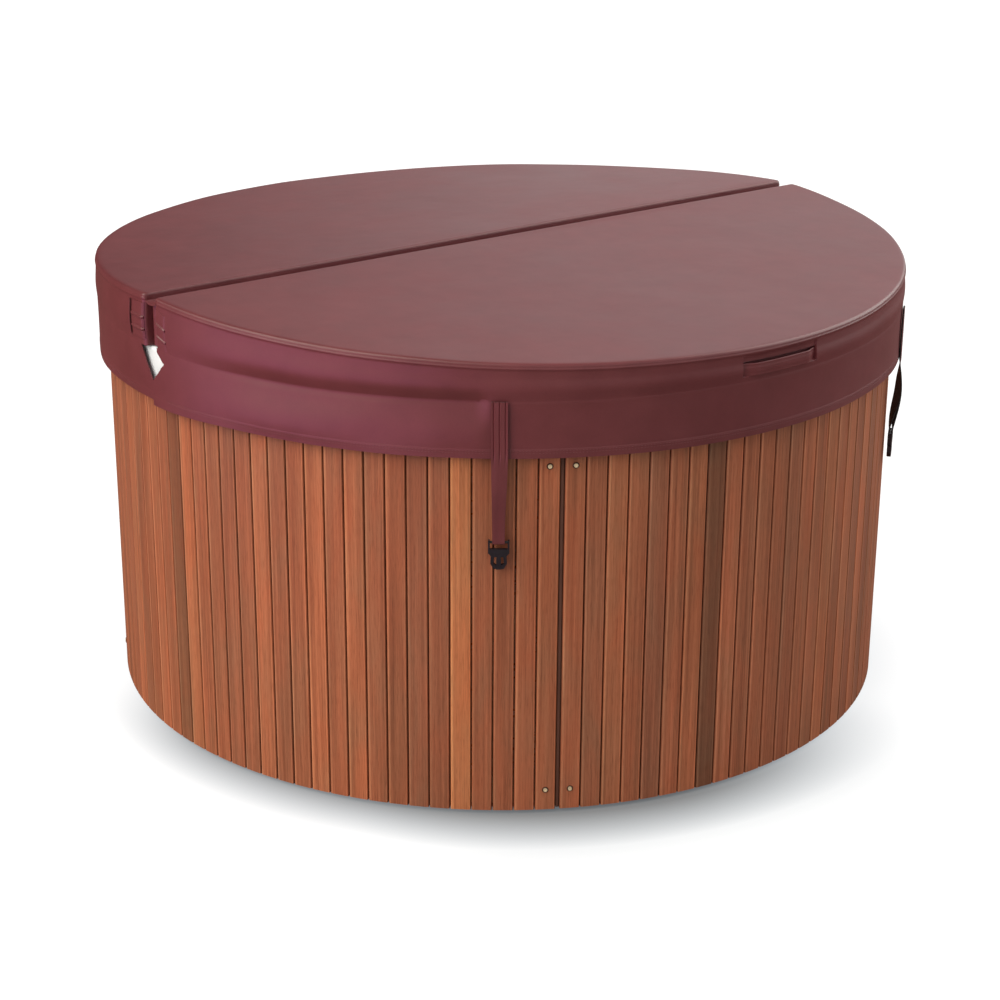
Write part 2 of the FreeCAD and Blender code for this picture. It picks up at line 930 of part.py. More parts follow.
revolve(
    glass,
    sketch(
        glass,
        "XZ_Plane",
        [(lx - 9, 0), (lx - 9, 44), (lx - 13, 44), (lx - 18, 38), (lx - 22, 0)],
    ),
    360,
    "H_Axis",
)
barrel = rod(d("light_radius"), 50, lx - 10, 0, 0, "x")
node("light_lens", move(group(move(fuse(glass, barrel), 0, 0, light_z)), turn=light_angle))

# Pump under the bench: base, motor, wet end and rotor, along the radius
pz = d("suction_height")
vr = d("volute_radius")
mr = d("pump_radius")
wet_in = wall_in - d("pump_reach")
wet_out = wet_in + d("wet_length")
motor_in = wet_out + d("coupling_gap")
motor_out = wrap_in - d("motor_gap")
outlet_x = wet_in + d("outlet_set")
pa = d("pump_angle")
wet = fuse(
    rod(vr, wet_out - wet_in, wet_in, 0, pz, "x"),
    rod(d("pipe_radius") + 10, 20, wet_in - 20, 0, pz, "x"),
    rod(d("pipe_radius") + 10, vr + 20, outlet_x, 0, pz),
    rod(vr - 20, d("coupling_gap"), wet_out, 0, pz, "x"),
)
chamber = rod(vr - 15, 75, wet_in + 12, 0, pz, "x")
inlet = rod(d("pipe_radius"), 60, wet_in - 25, 0, pz, "x")
outlet = rod(d("pipe_radius"), vr + 60, outlet_x, 0, pz)
gland = rod(d("shaft_radius") + 1, 60, wet_out - 30, 0, pz, "x")
node("pump_wet_end", spun([group(cut(wet, chamber, inlet, outlet, gland))], pa))
fins = []
for step in range(7):
    fins.append(tube(mr + 2, mr - 7, 0, 12))
    move(fins[-1], motor_in + 34 + 24 * step, 0, pz, 90, (0, 1, 0))
motor = fuse(
    rod(mr, motor_out - motor_in, motor_in, 0, pz, "x"),
    block(motor_in + 70, motor_in + 160, -45, 45, pz + mr - 12, pz + mr + 38),
)
motor_bore = rod(d("shaft_radius") + 1, 70, motor_in - 5, 0, pz, "x")
node("pump_motor", spun([group(cut(motor, motor_bore, *fins))], pa))
cradle = cut(
    fuse(
        block(motor_in + 20, motor_out - 20, -90, 90, d("base_thick"), d("base_thick") + 12),
        block(motor_in + 40, motor_in + 56, -60, 60, d("base_thick"), pz - 20),
        block(motor_out - 70, motor_out - 54, -60, 60, d("base_thick"), pz - 20),
    ),
    rod(mr + 0.2, motor_out - motor_in + 40, motor_in - 20, 0, pz, "x"),
)
node("pump_base", spun([group(cradle)], pa))
rotor = fuse(
    rod(d("impeller_radius"), 6, wet_in + 66, 0, pz, "x"),
    rod(d("impeller_radius") * 0.35, 30, wet_in + 40, 0, pz, "x"),
    rod(d("shaft_radius"), motor_in + 50 - (wet_in + 40), wet_in + 40, 0, pz, "x"),
    block(wet_in + 44, wet_in + 67, -3, 3, pz - d("impeller_radius") + 3, pz + d("impeller_radius") - 3),
    block(wet_in + 44, wet_in + 67, -d("impeller_radius") + 3, d("impeller_radius") - 3, pz - 3, pz + 3),
)
node("pump_rotor", spun([group(rotor)], pa))

# Heater tube and control box
hr = d("heater_radius")
hz = pz - d("heater_drop")
h_in = wet_in + 20
h_port = outlet_x
stub_tall = hr + d("heater_stub")
stub_top = hz + stub_tall
heater = fuse(
    rod(hr, wrap_in - 6 - h_in, h_in, 0, hz, "x"),
    rod(d("pipe_radius") + 5, stub_tall, h_port, 0, hz),
    rod(d("pipe_radius") + 5, stub_tall, ring_radius, 0, hz),
    block(h_in + 60, h_in + 84, -25, 25, d("base_thick"), hz),
    block(ring_radius - 84, ring_radius - 60, -25, 25, d("base_thick"), hz),
)
heater_void = fuse(
    rod(hr - 2, wrap_in - 10 - h_in, h_in + 2, 0, hz, "x"),
    rod(d("pipe_radius") - 2, hr + 40, h_port, 0, hz),
    rod(d("pipe_radius") - 2, hr + 40, ring_radius, 0, hz),
)
node("heater_tube", spun([group(cut(heater, heater_void))], heat_angle))
bx = h_port + 55
box_low = stub_top + d("box_gap")
box_top = seat - skin - d("box_headroom")
box_deep = d("box_depth")
box_half = d("box_half")
box_skin = d("box_wall")
pack = cut(
    block(bx, bx + box_deep, -box_half, box_half, box_low, box_top),
    block(
        bx + box_skin,
        bx + box_deep - box_skin,
        -box_half + box_skin,
        box_half - box_skin,
        box_low + box_skin,
        box_top - box_skin,
    ),
    block(bx + 60, bx + 90, box_half - 20, box_half + 20, box_low + 40, box_low + 60),
)
legs = []
for leg_x in (bx + 10, bx + box_deep - 40):
    for leg_y in (-box_half + 20, box_half - 20):
        legs.append(block(leg_x, leg_x + 30, leg_y - 10, leg_y + 10, d("base_thick"), box_low))
node("control_box", spun([group(fuse(pack, *legs))], heat_angle))

# Pipe runs: suction line, feed to the heater, heater to manifold, drain line
pipe_r = d("pipe_radius")
bore_r = d("pipe_radius") - d("pipe_wall")


def run(parts):
    """A hollow pipe run from pieces given once for each radius."""
    return cut(fuse(*parts(pipe_r)), *parts(bore_r))


tee_x = cover_end + 22
feed_x = outlet_x
feed_z = d("feed_height")
back_turn = size(360) + pa - filter_angle
return_x = ring_radius - 2
cross_z = feed_z + d("cross_rise")


def grown(r):
    """A bore runs a little past the pipe's ends."""
    return 0 if r is pipe_r else 1


def suction_line(r):
    past = grown(r)
    straight = rod(r, wet_in - 20 - cover_end + past * 2, cover_end - past, 0, pz, "x")
    down = rod(r, cross_z - pz, tee_x, 0, pz)
    across = rod(r, return_x - tee_x, tee_x, 0, cross_z, "x")
    up = rod(r, back_z - cross_z, return_x, 0, cross_z)
    corners = [ball(r, tee_x, 0, cross_z), ball(r, return_x, 0, cross_z), ball(r, return_x, 0, back_z)]
    here = [spun([group(p)], pa) for p in [straight, down, across, up] + corners]
    around = bend(return_x, r, back_z, filter_angle, back_turn)
    stub = rod(r, return_x - wall_in + 2 + past, wall_in - 2 - past, 0, back_z, "x")
    there = [spun([group(p)], filter_angle) for p in (stub, ball(r, return_x, 0, back_z))]
    return here + [around] + there


def feed_line(r):
    past = grown(r)
    top = pz + vr + 20
    up = rod(r, feed_z - top + past, feed_x, 0, top - past)
    here = [spun([group(p)], pa) for p in (up, ball(r, feed_x, 0, feed_z))]
    around = bend(feed_x, r, feed_z, pa, heat_angle - pa)
    down = rod(r, feed_z - stub_top + past, feed_x, 0, stub_top - past)
    there = [spun([group(p)], heat_angle) for p in (down, ball(r, feed_x, 0, feed_z))]
    return here + [around] + there


heat_rise = cut(
    rod(pipe_r, water - 40 - stub_top, ring_radius, 0, stub_top),
    rod(bore_r, water - 38 - stub_top, ring_radius, 0, stub_top - 1),
)
drain_out = slat_back - 12
drain_run = cut(
    rod(d("drain_pipe"), drain_out - suction_x + 4, suction_x - 4, 0, d("drain_height"), "x"),
    rod(d("drain_bore"), drain_out - suction_x + 10, suction_x - 6, 0, d("drain_height"), "x"),
)
second_plug = cut(
    rod(pipe_r, 30, cover_end, 0, pz, "x"),
    rod(bore_r, 20, cover_end - 1, 0, pz, "x"),
)
node(
    "pipe_runs",
    group(
        run(suction_line),
        run(feed_line),
        spun([group(heat_rise)], heat_angle),
        spun([group(drain_run)], drain_angle),
        spun([group(second_plug)], suction_angles[1]),
    ),
)

# Drain valve with its lever, and the power inlet
dz = d("drain_height")
spout = d("clad_radius") + d("spout_reach")
lever_x = d("clad_radius") + d("lever_set")
valve_shell = d("drain_pipe") + 3
valve = cut(
    fuse(
        rod(valve_shell, d("clad_radius") - drain_out, drain_out, 0, dz, "x"),
        rod(valve_shell + 7, 5, d("clad_radius"), 0, dz, "x"),
        rod(valve_shell - 1, d("spout_reach") - 5, d("clad_radius") + 5, 0, dz, "x"),
        rod(d("thread_radius"), d("thread_length"), spout, 0, dz, "x"),
        rod(5.8, 19, lever_x, 0, dz),
    ),
    rod(d("drain_bore"), 80, drain_out - 1, 0, dz, "x"),
    rod(3 + d("clearance"), 12, lever_x, 0, dz + 11.5),
)
node("drain_valve", spun([group(valve)], drain_angle))
lever_z = dz + 19 + d("clearance")
lever = fuse(
    rod(6, 6, lever_x, 0, lever_z),
    rod(3, 8, lever_x, 0, lever_z - 7),
    block(lever_x - 5, lever_x + 5, 0, d("lever_length"), lever_z + 1, lever_z + 5),
    rod(5, 4, lever_x, d("lever_length"), lever_z + 1),
)
node("drain_lever", spun([group(lever)], drain_angle))
grommet = cut(
    fuse(
        rod(d("drain_clear") - 0.5, d("slat_thick"), slat_back, 0, dz, "x"),
        rod(d("drain_clear") + 5, 4, d("clad_radius"), 0, dz, "x"),
    ),
    rod(d("conduit_radius"), 60, slat_back - 10, 0, dz, "x"),
)
node("power_grommet", spun([group(grommet)], power_angle))

# Cover: two tapered foam halves in vinyl jackets with hanging skirts
cr = lip_out + d("cover_overhang")
jt = d("jacket_thick")
c_low = d("tub_height") + d("cover_gap")
fold_half = d("fold_gap") / 2
fold_top = c_low + d("fold_height")
edge_top = c_low + d("edge_height")
fall_rate = (fold_top - edge_top) / (cr - fold_half)


def half_slab(name, side, radius, inset, lid_drop):
    """Half a disc whose top falls away from the fold."""
    body = new_body(name)
    near = fold_half + inset
    far = radius + 1
    near_top = fold_top - lid_drop - fall_rate * inset
    far_top = fold_top - lid_drop - fall_rate * (far - fold_half)
    s = sketch(
        body,
        "YZ_Plane",
        [(near * side, c_low), (far * side, c_low), (far * side, far_top), (near * side, near_top)],
    )
    pad(body, s, radius * 2 + 10, both=True)
    return common(body, rod(radius, 300, 0, 0, c_low - 100))


def skirt_of(name, side):
    body = new_body(name)
    r0 = cr - d("skirt_thick")
    low = c_low - d("skirt_drop")
    count_of = d("skirt_lengths")
    seam = d("skirt_seam")
    reach = size(179.8) / count_of
    outline = sketch(body, "XZ_Plane", [(r0, low), (cr, low), (cr, c_low), (r0, c_low)])
    one = revolve(body, outline, reach - seam)
    polar(body, one, reach * (count_of - 1), count_of, (outline, ["V_Axis"]))
    move(body, turn=0.1 if side > 0 else 180.1)
    w = d("notch_width") * side
    h = d("notch_height")
    prism = new_body(name + "_notch")
    corner = sketch(
        prism,
        "YZ_Plane",
        [
            (-5 * side, c_low + 1),
            (w, c_low + 1),
            (w, c_low - d("notch_corner")),
            (0.5 * side, c_low - h),
            (-5 * side, c_low - h),
        ],
    )
    pad(prism, corner, cr * 2 + 20, both=True)
    return cut(body, prism)


def grab_handle(name, angle):
    body = new_body(name)
    half_long = d("handle_length") / 2
    thick = d("handle_thick")
    bow = d("handle_bow")
    inner = [
        (cr - 14, -half_long),
        (cr - 8, -half_long + 24),
        (cr + bow * 0.62, -half_long * 0.48),
        (cr + bow * 0.8, 0),
        (cr + bow * 0.62, half_long * 0.48),
        (cr - 8, half_long - 24),
        (cr - 14, half_long),
    ]
    outer = [
        (cr - 2.0, half_long),
        (cr + thick, half_long - 27),
        (cr + bow * 0.62 + thick, half_long * 0.46),
        (cr + bow * 0.8 + thick, 0),
        (cr + bow * 0.62 + thick, -half_long * 0.46),
        (cr + thick, -half_long + 27),
        (cr - 2.0, -half_long),
    ]
    s = sketch(body, "XY_Plane", inner + outer)
    pad(body, s, d("handle_height"))
    move(body, 0, 0, c_low + d("handle_low"))
    made = cut(body, rod(cr, 400, 0, 0, c_low - 100))
    return move(group(made), turn=angle)


for name, side, angle in (("cover_back", 1, 90), ("cover_front", -1, -90)):
    core = half_slab(name + "_core", side, cr - jt, jt, jt)
    outer = half_slab(name + "_skin", side, cr, size(0), size(0))
    doc.recompute()
    rounded = fresh("Part::Fillet", "soft_edge")
    rounded.Base = outer
    picks = []
    for i, e in enumerate(outer.Shape.Edges):
        if e.BoundBox.ZMin > c_low.value + 30 and e.Length > 300:
            picks.append((i + 1, d("edge_round").value, d("edge_round").value))
    rounded.Edges = picks
    node(name + "_core", core)
    node(name + "_jacket", cut(rounded, core))
    node(name + "_skirt", skirt_of(name + "_skirt", side))
    node(name + "_handle", grab_handle(name + "_handle", angle))

# Soft hinge strip that sags between the two halves
strip = new_body("cover_hinge_strip")
drop = d("hinge_drop")
sag = d("hinge_sag")
gap = d("clearance")
line = [
    (fold_half, fold_top - drop),
    (fold_half * 0.55, fold_top - sag * 0.85),
    (0, fold_top - sag),
    (-fold_half * 0.55, fold_top - sag * 0.85),
    (-fold_half + gap, fold_top - drop),
]
under = [(y, z - d("hinge_thick")) for y, z in reversed(line)]
pad(strip, sketch(strip, "YZ_Plane", line + under), cr * 2 + 20, both=True)
node("cover_hinge_strip", common(strip, rod(cr - 1, 300, 0, 0, c_low - 50)))

# Tie-down straps: a doubled band round the buckle's bar
st = d("strap_thick")
sx = cr + 0.3
s_top = c_low + d("strap_lap")
s_bot = s_top - d("strap_drop")
hem = c_low - d("skirt_drop")
open_z = s_bot + d("strap_open")
loop = d("strap_loop")
for name, angle in (
    ("front_left", -(size(90) + d("strap_angle"))),
    ("front_right", -(size(90) - d("strap_angle"))),
    ("back_right", size(90) - d("strap_angle")),
    ("back_left", size(90) + d("strap_angle")),
):
    band = new_body("strap")
    outside = [
        (sx, s_top),
        (sx + st * 2, s_top),
        (sx + st * 2, open_z),
        (sx + st, s_bot + 48),
        (sx - loop * 0.3 + st, s_bot + 5),
        (sx - loop * 0.55, s_bot),
        (sx - loop, s_bot + 7),
        (sx - loop, s_bot + 44),
        (sx, hem - 2),
    ]
    inside = [
        (sx + st, open_z - 12),
        (sx, s_bot + 48),
        (sx - loop * 0.3, s_bot + 8),
        (sx - loop * 0.55, s_bot + st + 1),
        (sx - loop + st, s_bot + 9),
        (sx - loop + st, s_bot + 44),
    ]
    pad(band, sketch(band, "XZ_Plane", outside, inside), d("strap_width"), both=True)
    node("strap_" + name, move(band, turn=angle))
    bar_x = sx - loop * 0.55
    bar_z = s_bot + 11
    bw = d("buckle_width") / 2
    sw = d("strap_width") / 2 + 1.2
    bt = d("buckle_thick") / 2
    top_z = s_bot - 3
    low_z = top_z - d("buckle_length")
    form = new_body("buckle")
    outline = [
        (-bw, bar_z + 4),
        (-bw, top_z - 8),
        (-bw * 0.72, top_z - 14),
        (-bw * 0.78, low_z + 12),
        (-bw * 0.5, low_z + 2),
        (-bw * 0.2, low_z),
        (bw * 0.2, low_z),
        (bw * 0.5, low_z + 2),
        (bw * 0.78, low_z + 12),
        (bw * 0.72, top_z - 14),
        (bw, top_z - 8),
        (bw, bar_z + 4),
        (sw, bar_z + 4),
        (sw, top_z),
        (-sw, top_z),
        (-sw, bar_z + 4),
    ]
    gap_right = [
        (bw * 0.2, top_z - 16),
        (bw * 0.24, low_z + 8),
        (bw * 0.5, low_z + 12),
        (bw * 0.42, top_z - 16),
    ]
    gap_left = [(-y, z) for y, z in reversed(gap_right)]
    pad(form, sketch(form, "YZ_Plane", outline, gap_left, gap_right), d("buckle_thick"), both=True)
    bar = rod(2.6, bw * 2 - 2, bar_x, -bw + 1, bar_z, "y")
    whole = fuse(move(form, bar_x, 0, 0), bar)
    node("buckle_" + name, move(group(whole), turn=angle))

doc.recompute()
bad = [o.Label for o in doc.Objects if "Invalid" in o.State or "Error" in o.State]
if bad:
    raise RuntimeError("did not compute: " + ", ".join(bad))
for name, obj in nodes.items():
    shape = obj.Shape
    if shape.isNull() or not shape.isValid() or not shape.Solids:
        raise RuntimeError("no valid solid in " + name)
os.makedirs("parts", exist_ok=True)
for name, obj in nodes.items():
    obj.Shape.exportStep("parts/%s.step" % name)
    print(name, len(obj.Shape.Solids), round(obj.Shape.Volume / 1000))
print(len(nodes), "nodes")
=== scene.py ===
# Looks of a round hot tub: timber cabinet, acrylic shell and a folding vinyl cover
import json
import math

import bpy
from mathutils import Matrix, Vector, noise


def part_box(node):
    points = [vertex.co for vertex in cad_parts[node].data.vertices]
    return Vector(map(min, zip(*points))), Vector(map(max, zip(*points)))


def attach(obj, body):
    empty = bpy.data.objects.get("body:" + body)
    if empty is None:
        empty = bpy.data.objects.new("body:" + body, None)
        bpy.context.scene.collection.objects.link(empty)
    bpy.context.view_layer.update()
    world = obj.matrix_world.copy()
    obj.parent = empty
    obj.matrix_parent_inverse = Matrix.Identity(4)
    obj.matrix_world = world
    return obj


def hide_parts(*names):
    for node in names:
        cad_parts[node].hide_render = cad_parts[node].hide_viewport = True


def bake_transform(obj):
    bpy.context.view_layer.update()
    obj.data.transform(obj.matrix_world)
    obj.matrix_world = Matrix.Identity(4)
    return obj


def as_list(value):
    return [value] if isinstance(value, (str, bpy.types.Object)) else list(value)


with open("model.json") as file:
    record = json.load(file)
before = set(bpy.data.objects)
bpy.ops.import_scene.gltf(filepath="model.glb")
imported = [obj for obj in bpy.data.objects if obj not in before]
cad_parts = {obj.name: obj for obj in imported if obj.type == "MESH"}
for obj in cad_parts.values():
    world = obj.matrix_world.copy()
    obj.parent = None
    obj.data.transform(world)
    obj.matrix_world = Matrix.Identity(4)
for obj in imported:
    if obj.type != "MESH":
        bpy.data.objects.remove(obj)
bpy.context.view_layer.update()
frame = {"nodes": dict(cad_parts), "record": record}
nodes = frame["nodes"]
print("frame loaded:", len(nodes), "nodes")


# Editing helpers

def deselectAll():
    if bpy.context.mode != "OBJECT":
        bpy.ops.object.mode_set(mode="OBJECT")
    bpy.ops.object.select_all(action="DESELECT")


def take(obj):
    deselectAll()
    obj.select_set(True)
    bpy.context.view_layer.objects.active = obj


def openEdit(obj):
    take(obj)
    bpy.ops.object.mode_set(mode="EDIT")
    bpy.ops.mesh.select_mode(type="VERT")
    bpy.ops.mesh.select_all(action="SELECT")


def closeEdit():
    bpy.ops.object.mode_set(mode="OBJECT")


def drawLine(name, points):  # a run of edges, drawn point by point
    deselectAll()
    bpy.ops.mesh.primitive_plane_add(size=0.01)
    obj = bpy.context.object
    obj.name = name
    bpy.ops.object.mode_set(mode="EDIT")
    bpy.ops.mesh.merge(type="CENTER")
    bpy.ops.transform.translate(value=points[0])
    for here, there in zip(points, points[1:]):
        step = [b - a for a, b in zip(here, there)]
        bpy.ops.mesh.extrude_vertices_move(TRANSFORM_OT_translate={"value": step})
    closeEdit()
    return obj


def tidyFaces(obj):  # doubles merged, faces outward
    openEdit(obj)
    bpy.ops.mesh.remove_doubles(threshold=0.00002)
    bpy.ops.mesh.normals_make_consistent(inside=False)
    closeEdit()


def spinHalf(obj, steps):  # a line on +X turned through +Y to -X
    openEdit(obj)
    bpy.ops.mesh.spin(steps=steps, angle=math.pi, center=(0, 0, 0), axis=(0, 0, 1))
    closeEdit()
    if min(v.co.y for v in obj.data.vertices) < -0.01:
        reshape(obj, lambda p: Vector((p.x, -p.y, p.z)))
    tidyFaces(obj)


def pullOut(obj, step, count):  # the whole line extruded along a step
    openEdit(obj)
    bpy.ops.mesh.select_mode(type="EDGE")
    for _ in range(count):
        bpy.ops.mesh.extrude_edges_move(TRANSFORM_OT_translate={"value": step})
    closeEdit()
    tidyFaces(obj)


def cutAlong(obj, point, normal, clear=False, fill=False):  # a straight cut, by a plane
    openEdit(obj)
    bpy.ops.mesh.bisect(plane_co=point, plane_no=normal, clear_inner=clear, use_fill=fill)
    closeEdit()


def reshape(obj, rule):  # each point pushed to its place
    for v in obj.data.vertices:
        v.co = rule(v.co.copy())
    obj.data.update()


def applied(obj, kind, **settings):
    change = obj.modifiers.new(kind.lower(), kind)
    for key, value in settings.items():
        setattr(change, key, value)
    take(obj)
    bpy.ops.object.modifier_apply(modifier=change.name)


def finished(obj, angle, *skins):  # skinned, and smooth up to an angle
    for skin in skins:
        obj.data.materials.append(skin)
    take(obj)
    bpy.ops.object.shade_smooth_by_angle(angle=math.radians(angle))
    return obj


def turned(obj, angle):
    obj.data.transform(Matrix.Rotation(angle, 4, "Z"))
    obj.data.update()


def joined(name, parts):
    deselectAll()
    for part in parts:
        part.select_set(True)
    bpy.context.view_layer.objects.active = parts[0]
    bpy.ops.object.join()
    parts[0].name = name
    return parts[0]


def ramp01(value, low, high):
    share = min(1.0, max(0.0, (value - low) / (high - low)))
    return share * share * (3 - 2 * share)


def wave(x, y, z):
    return noise.noise(Vector((x, y, z)))


# Shader helpers

def newFinish(name):
    finish = bpy.data.materials.new(name)
    finish.use_nodes = True
    return finish, finish.node_tree, finish.node_tree.nodes["Principled BSDF"]


def put(tree, kind, sockets=None, **settings):
    node = tree.nodes.new(kind)
    for key, value in settings.items():
        setattr(node, key, value)
    for key, value in (sockets or {}).items():
        if isinstance(value, bpy.types.NodeSocket):
            tree.links.new(value, node.inputs[key])
        else:
            node.inputs[key].default_value = value
    return node


def calc(tree, operation, *values):
    return put(tree, "ShaderNodeMath", dict(enumerate(values)), operation=operation).outputs[0]


def times(tree, first, second):
    return calc(tree, "MULTIPLY", first, second)


def measured(tree, operation, *vectors):
    node = put(tree, "ShaderNodeVectorMath", dict(enumerate(vectors)), operation=operation)
    return node.outputs["Value" if operation in ("DOT_PRODUCT", "DISTANCE") else "Vector"]


def objectSpot(tree):
    return put(tree, "ShaderNodeTexCoord").outputs["Object"]


def aroundAxis(tree):  # turn about the tub's axis, and height
    axes = put(tree, "ShaderNodeSeparateXYZ", {0: objectSpot(tree)}).outputs
    return calc(tree, "ARCTAN2", axes["Y"], axes["X"]), axes["Z"]


def placed(tree, x, y, z):
    return put(tree, "ShaderNodeCombineXYZ", {"X": x, "Y": y, "Z": z}).outputs[0]


def grains(tree, spot, scale, detail=3.0, rough=0.55, distort=0.0):
    sockets = {"Vector": spot, "Scale": scale, "Detail": detail, "Roughness": rough, "Distortion": distort}
    return put(tree, "ShaderNodeTexNoise", sockets).outputs["Fac"]


def cells(tree, spot, scale):
    return put(tree, "ShaderNodeTexVoronoi", {"Vector": spot, "Scale": scale}).outputs["Distance"]


def tones(tree, factor, *stops):
    node = put(tree, "ShaderNodeValToRGB", {"Fac": factor})
    points = node.color_ramp.elements
    while len(points) < len(stops):
        points.new(0.5)
    for point, (place, colour) in zip(points, stops):
        point.position = place
        point.color = (*colour, 1)
    return node.outputs["Color"]


def ranged(tree, value, fromLow, fromHigh, toLow=0.0, toHigh=1.0, way="LINEAR"):
    sockets = {"Value": value, "From Min": fromLow, "From Max": fromHigh, "To Min": toLow, "To Max": toHigh}
    return put(tree, "ShaderNodeMapRange", sockets, interpolation_type=way).outputs["Result"]


def spread(tree, factor, low, high):
    return ranged(tree, factor, 0.0, 1.0, low, high)


def tinted(tree, under, over, factor=1.0, way="MULTIPLY"):
    node = put(tree, "ShaderNodeMix", data_type="RGBA", blend_type=way)
    for socket, value in ((node.inputs[0], factor), (node.inputs[6], under), (node.inputs[7], over)):
        if isinstance(value, bpy.types.NodeSocket):
            tree.links.new(value, socket)
        elif isinstance(value, (int, float)):
            socket.default_value = value
        else:
            socket.default_value = (*value, 1)
    return node.outputs[2]


def raised(tree, shader, height, depth, strength=1.0, under=None):
    sockets = {"Height": height, "Distance": depth, "Strength": strength}
    if under is not None:
        sockets["Normal"] = under
    bump = put(tree, "ShaderNodeBump", sockets).outputs["Normal"]
    tree.links.new(bump, shader.inputs["Normal"])
    return bump


def dressed(tree, shader, colour, rough):
    tree.links.new(colour, shader.inputs["Base Color"])
    tree.links.new(rough, shader.inputs["Roughness"])


# Cabinet boards: oiled hardwood, each board its own tone

boardLook = dict(
    seamAt=-120.0,
    panelTurn=90.0,
    seamGap=0.5,
    boards=32,
    faceRadius=0.888,
    tones=[
        (0.00, (0.295, 0.101, 0.051)),
        (0.20, (0.325, 0.106, 0.050)),
        (0.50, (0.352, 0.112, 0.052)),
        (0.80, (0.378, 0.121, 0.056)),
        (1.00, (0.415, 0.138, 0.061)),
    ],
    ownTones=[  # boards that stand out, counted from the first seam
        ((7, 53, 88), (0.190, 0.070, 0.034)),
        ((31, 70, 107), (0.225, 0.082, 0.039)),
        ((44, 123), (0.470, 0.160, 0.064)),
    ],
    grainShift=3.71,  # from board to board
    grain=dict(  # squeeze across and along, detail, roughness, distortion, then the tints
        blotch=(20, 4.5, 3.0, 0.55, 0.5, (0.30, (0.92, 1.06, 1.12)), (0.70, (1.08, 0.98, 0.94))),
        streaks=(150, 1.9, 5.0, 0.62, 0.35, (0.30, (0.74, 0.70, 0.68)), (0.70, (1.12, 1.13, 1.14))),
        bands=(34, 0.9, 2.0, 0.5, 0.6, (0.28, (0.80, 0.78, 0.76)), (0.72, (1.12, 1.12, 1.12))),
        threads=(420, 3.2, 3.0, 0.6, 0.0, (0.34, (0.86, 0.84, 0.82)), (0.66, (1.10, 1.10, 1.10))),
        pores=(950, 34, 2.0, 0.6, 0.0, (0.32, (0.74, 0.70, 0.67)), (0.50, (1.0, 1.0, 1.0))),
    ),
    edgeGleamAndJointShade=[  # painted highlights on the board edges, and painted shade in the joint beside them
        (0.014, (0.46, 0.39, 0.36)),
        (0.052, (0.98, 0.95, 0.92)),
        (0.086, (1.46, 1.74, 1.88)),
        (0.185, (1.00, 1.00, 1.00)),
        (0.862, (0.98, 0.98, 0.98)),
        (0.918, (1.38, 1.40, 1.38)),
        (0.950, (0.94, 0.90, 0.86)),
        (0.986, (0.46, 0.39, 0.36)),
    ],
    rough=(0.42, 0.62),
)


def boardFinish():
    look = boardLook
    finish, tree, shader = newFinish("oiledBoards")
    turn, rise = aroundAxis(tree)
    fromSeam = calc(tree, "SUBTRACT", times(tree, turn, 180 / math.pi), look["seamAt"])
    panel = calc(tree, "FLOOR", calc(tree, "DIVIDE", fromSeam, look["panelTurn"]))
    within = calc(tree, "SUBTRACT", fromSeam, times(tree, panel, look["panelTurn"]))
    pitch = (look["panelTurn"] - look["seamGap"]) / look["boards"]
    place = calc(tree, "DIVIDE", calc(tree, "SUBTRACT", within, look["seamGap"] / 2), pitch)
    panelCount = calc(tree, "WRAP", panel, 360 / look["panelTurn"], 0.0)
    firstBoard = times(tree, panelCount, look["boards"])
    board = calc(tree, "ADD", firstBoard, calc(tree, "FLOOR", place))
    across = calc(tree, "FRACT", place)
    lot = put(tree, "ShaderNodeTexWhiteNoise", {"W": board}, noise_dimensions="1D").outputs["Value"]
    colour = tones(tree, lot, *look["tones"])
    for numbers, tone in look["ownTones"]:
        for number in numbers:
            same = calc(tree, "COMPARE", board, number, 0.4)
            colour = tinted(tree, colour, tone, same, "MIX")
    # grain runs up the board: squeezed across, stretched along
    arc = times(tree, turn, look["faceRadius"])
    shift = times(tree, board, look["grainShift"])
    fibres = {}
    for kind, (squeeze, stretch, detail, rough, distort, *tints) in look["grain"].items():
        spot = placed(tree, times(tree, arc, squeeze), shift, times(tree, rise, stretch))
        fibres[kind] = grains(tree, spot, 1.0, detail, rough, distort)
        colour = tinted(tree, colour, tones(tree, fibres[kind], *tints))
    # painted highlight on each board's edges and painted shade in the joints between boards
    colour = tinted(tree, colour, tones(tree, across, *look["edgeGleamAndJointShade"]))
    dressed(tree, shader, colour, spread(tree, fibres["streaks"], *look["rough"]))
    lower = raised(tree, shader, fibres["pores"], 0.0006, 0.25)
    raised(tree, shader, fibres["streaks"], 0.0012, 0.35, lower)
    shader.inputs["Specular IOR Level"].default_value = 0.3
    return finish


# Cover vinyl: wine red, fine leather grain, soft gloss

vinylLook = dict(
    tones=[(0.30, (0.120, 0.022, 0.026)), (0.72, (0.152, 0.031, 0.036))],  # deep to worn
    dustTones=[(0.30, (0.93, 0.92, 0.92)), (0.70, (1.05, 1.06, 1.06))],
    grainTones=[(0.0, (1.04, 1.04, 1.04)), (0.75, (0.86, 0.84, 0.84))],
    grainScale=620.0,
    rough=(0.34, 0.50),
)


def vinylFinish():
    look = vinylLook
    finish, tree, shader = newFinish("wineVinyl")
    spot = objectSpot(tree)
    cloud = grains(tree, spot, 2.6, 4.0, 0.6)
    dust = grains(tree, spot, 19.0, 3.0, 0.6)
    grain = cells(tree, spot, look["grainScale"])
    colour = tones(tree, cloud, *look["tones"])
    colour = tinted(tree, colour, tones(tree, dust, *look["dustTones"]))
    colour = tinted(tree, colour, tones(tree, grain, *look["grainTones"]))
    dressed(tree, shader, colour, spread(tree, cloud, *look["rough"]))
    soft = raised(tree, shader, grains(tree, spot, 11.0, 2.0, 0.5), 0.006, 0.16)
    raised(tree, shader, grain, 0.0005, 0.16, soft)
    shader.inputs["IOR"].default_value = 1.5
    return finish


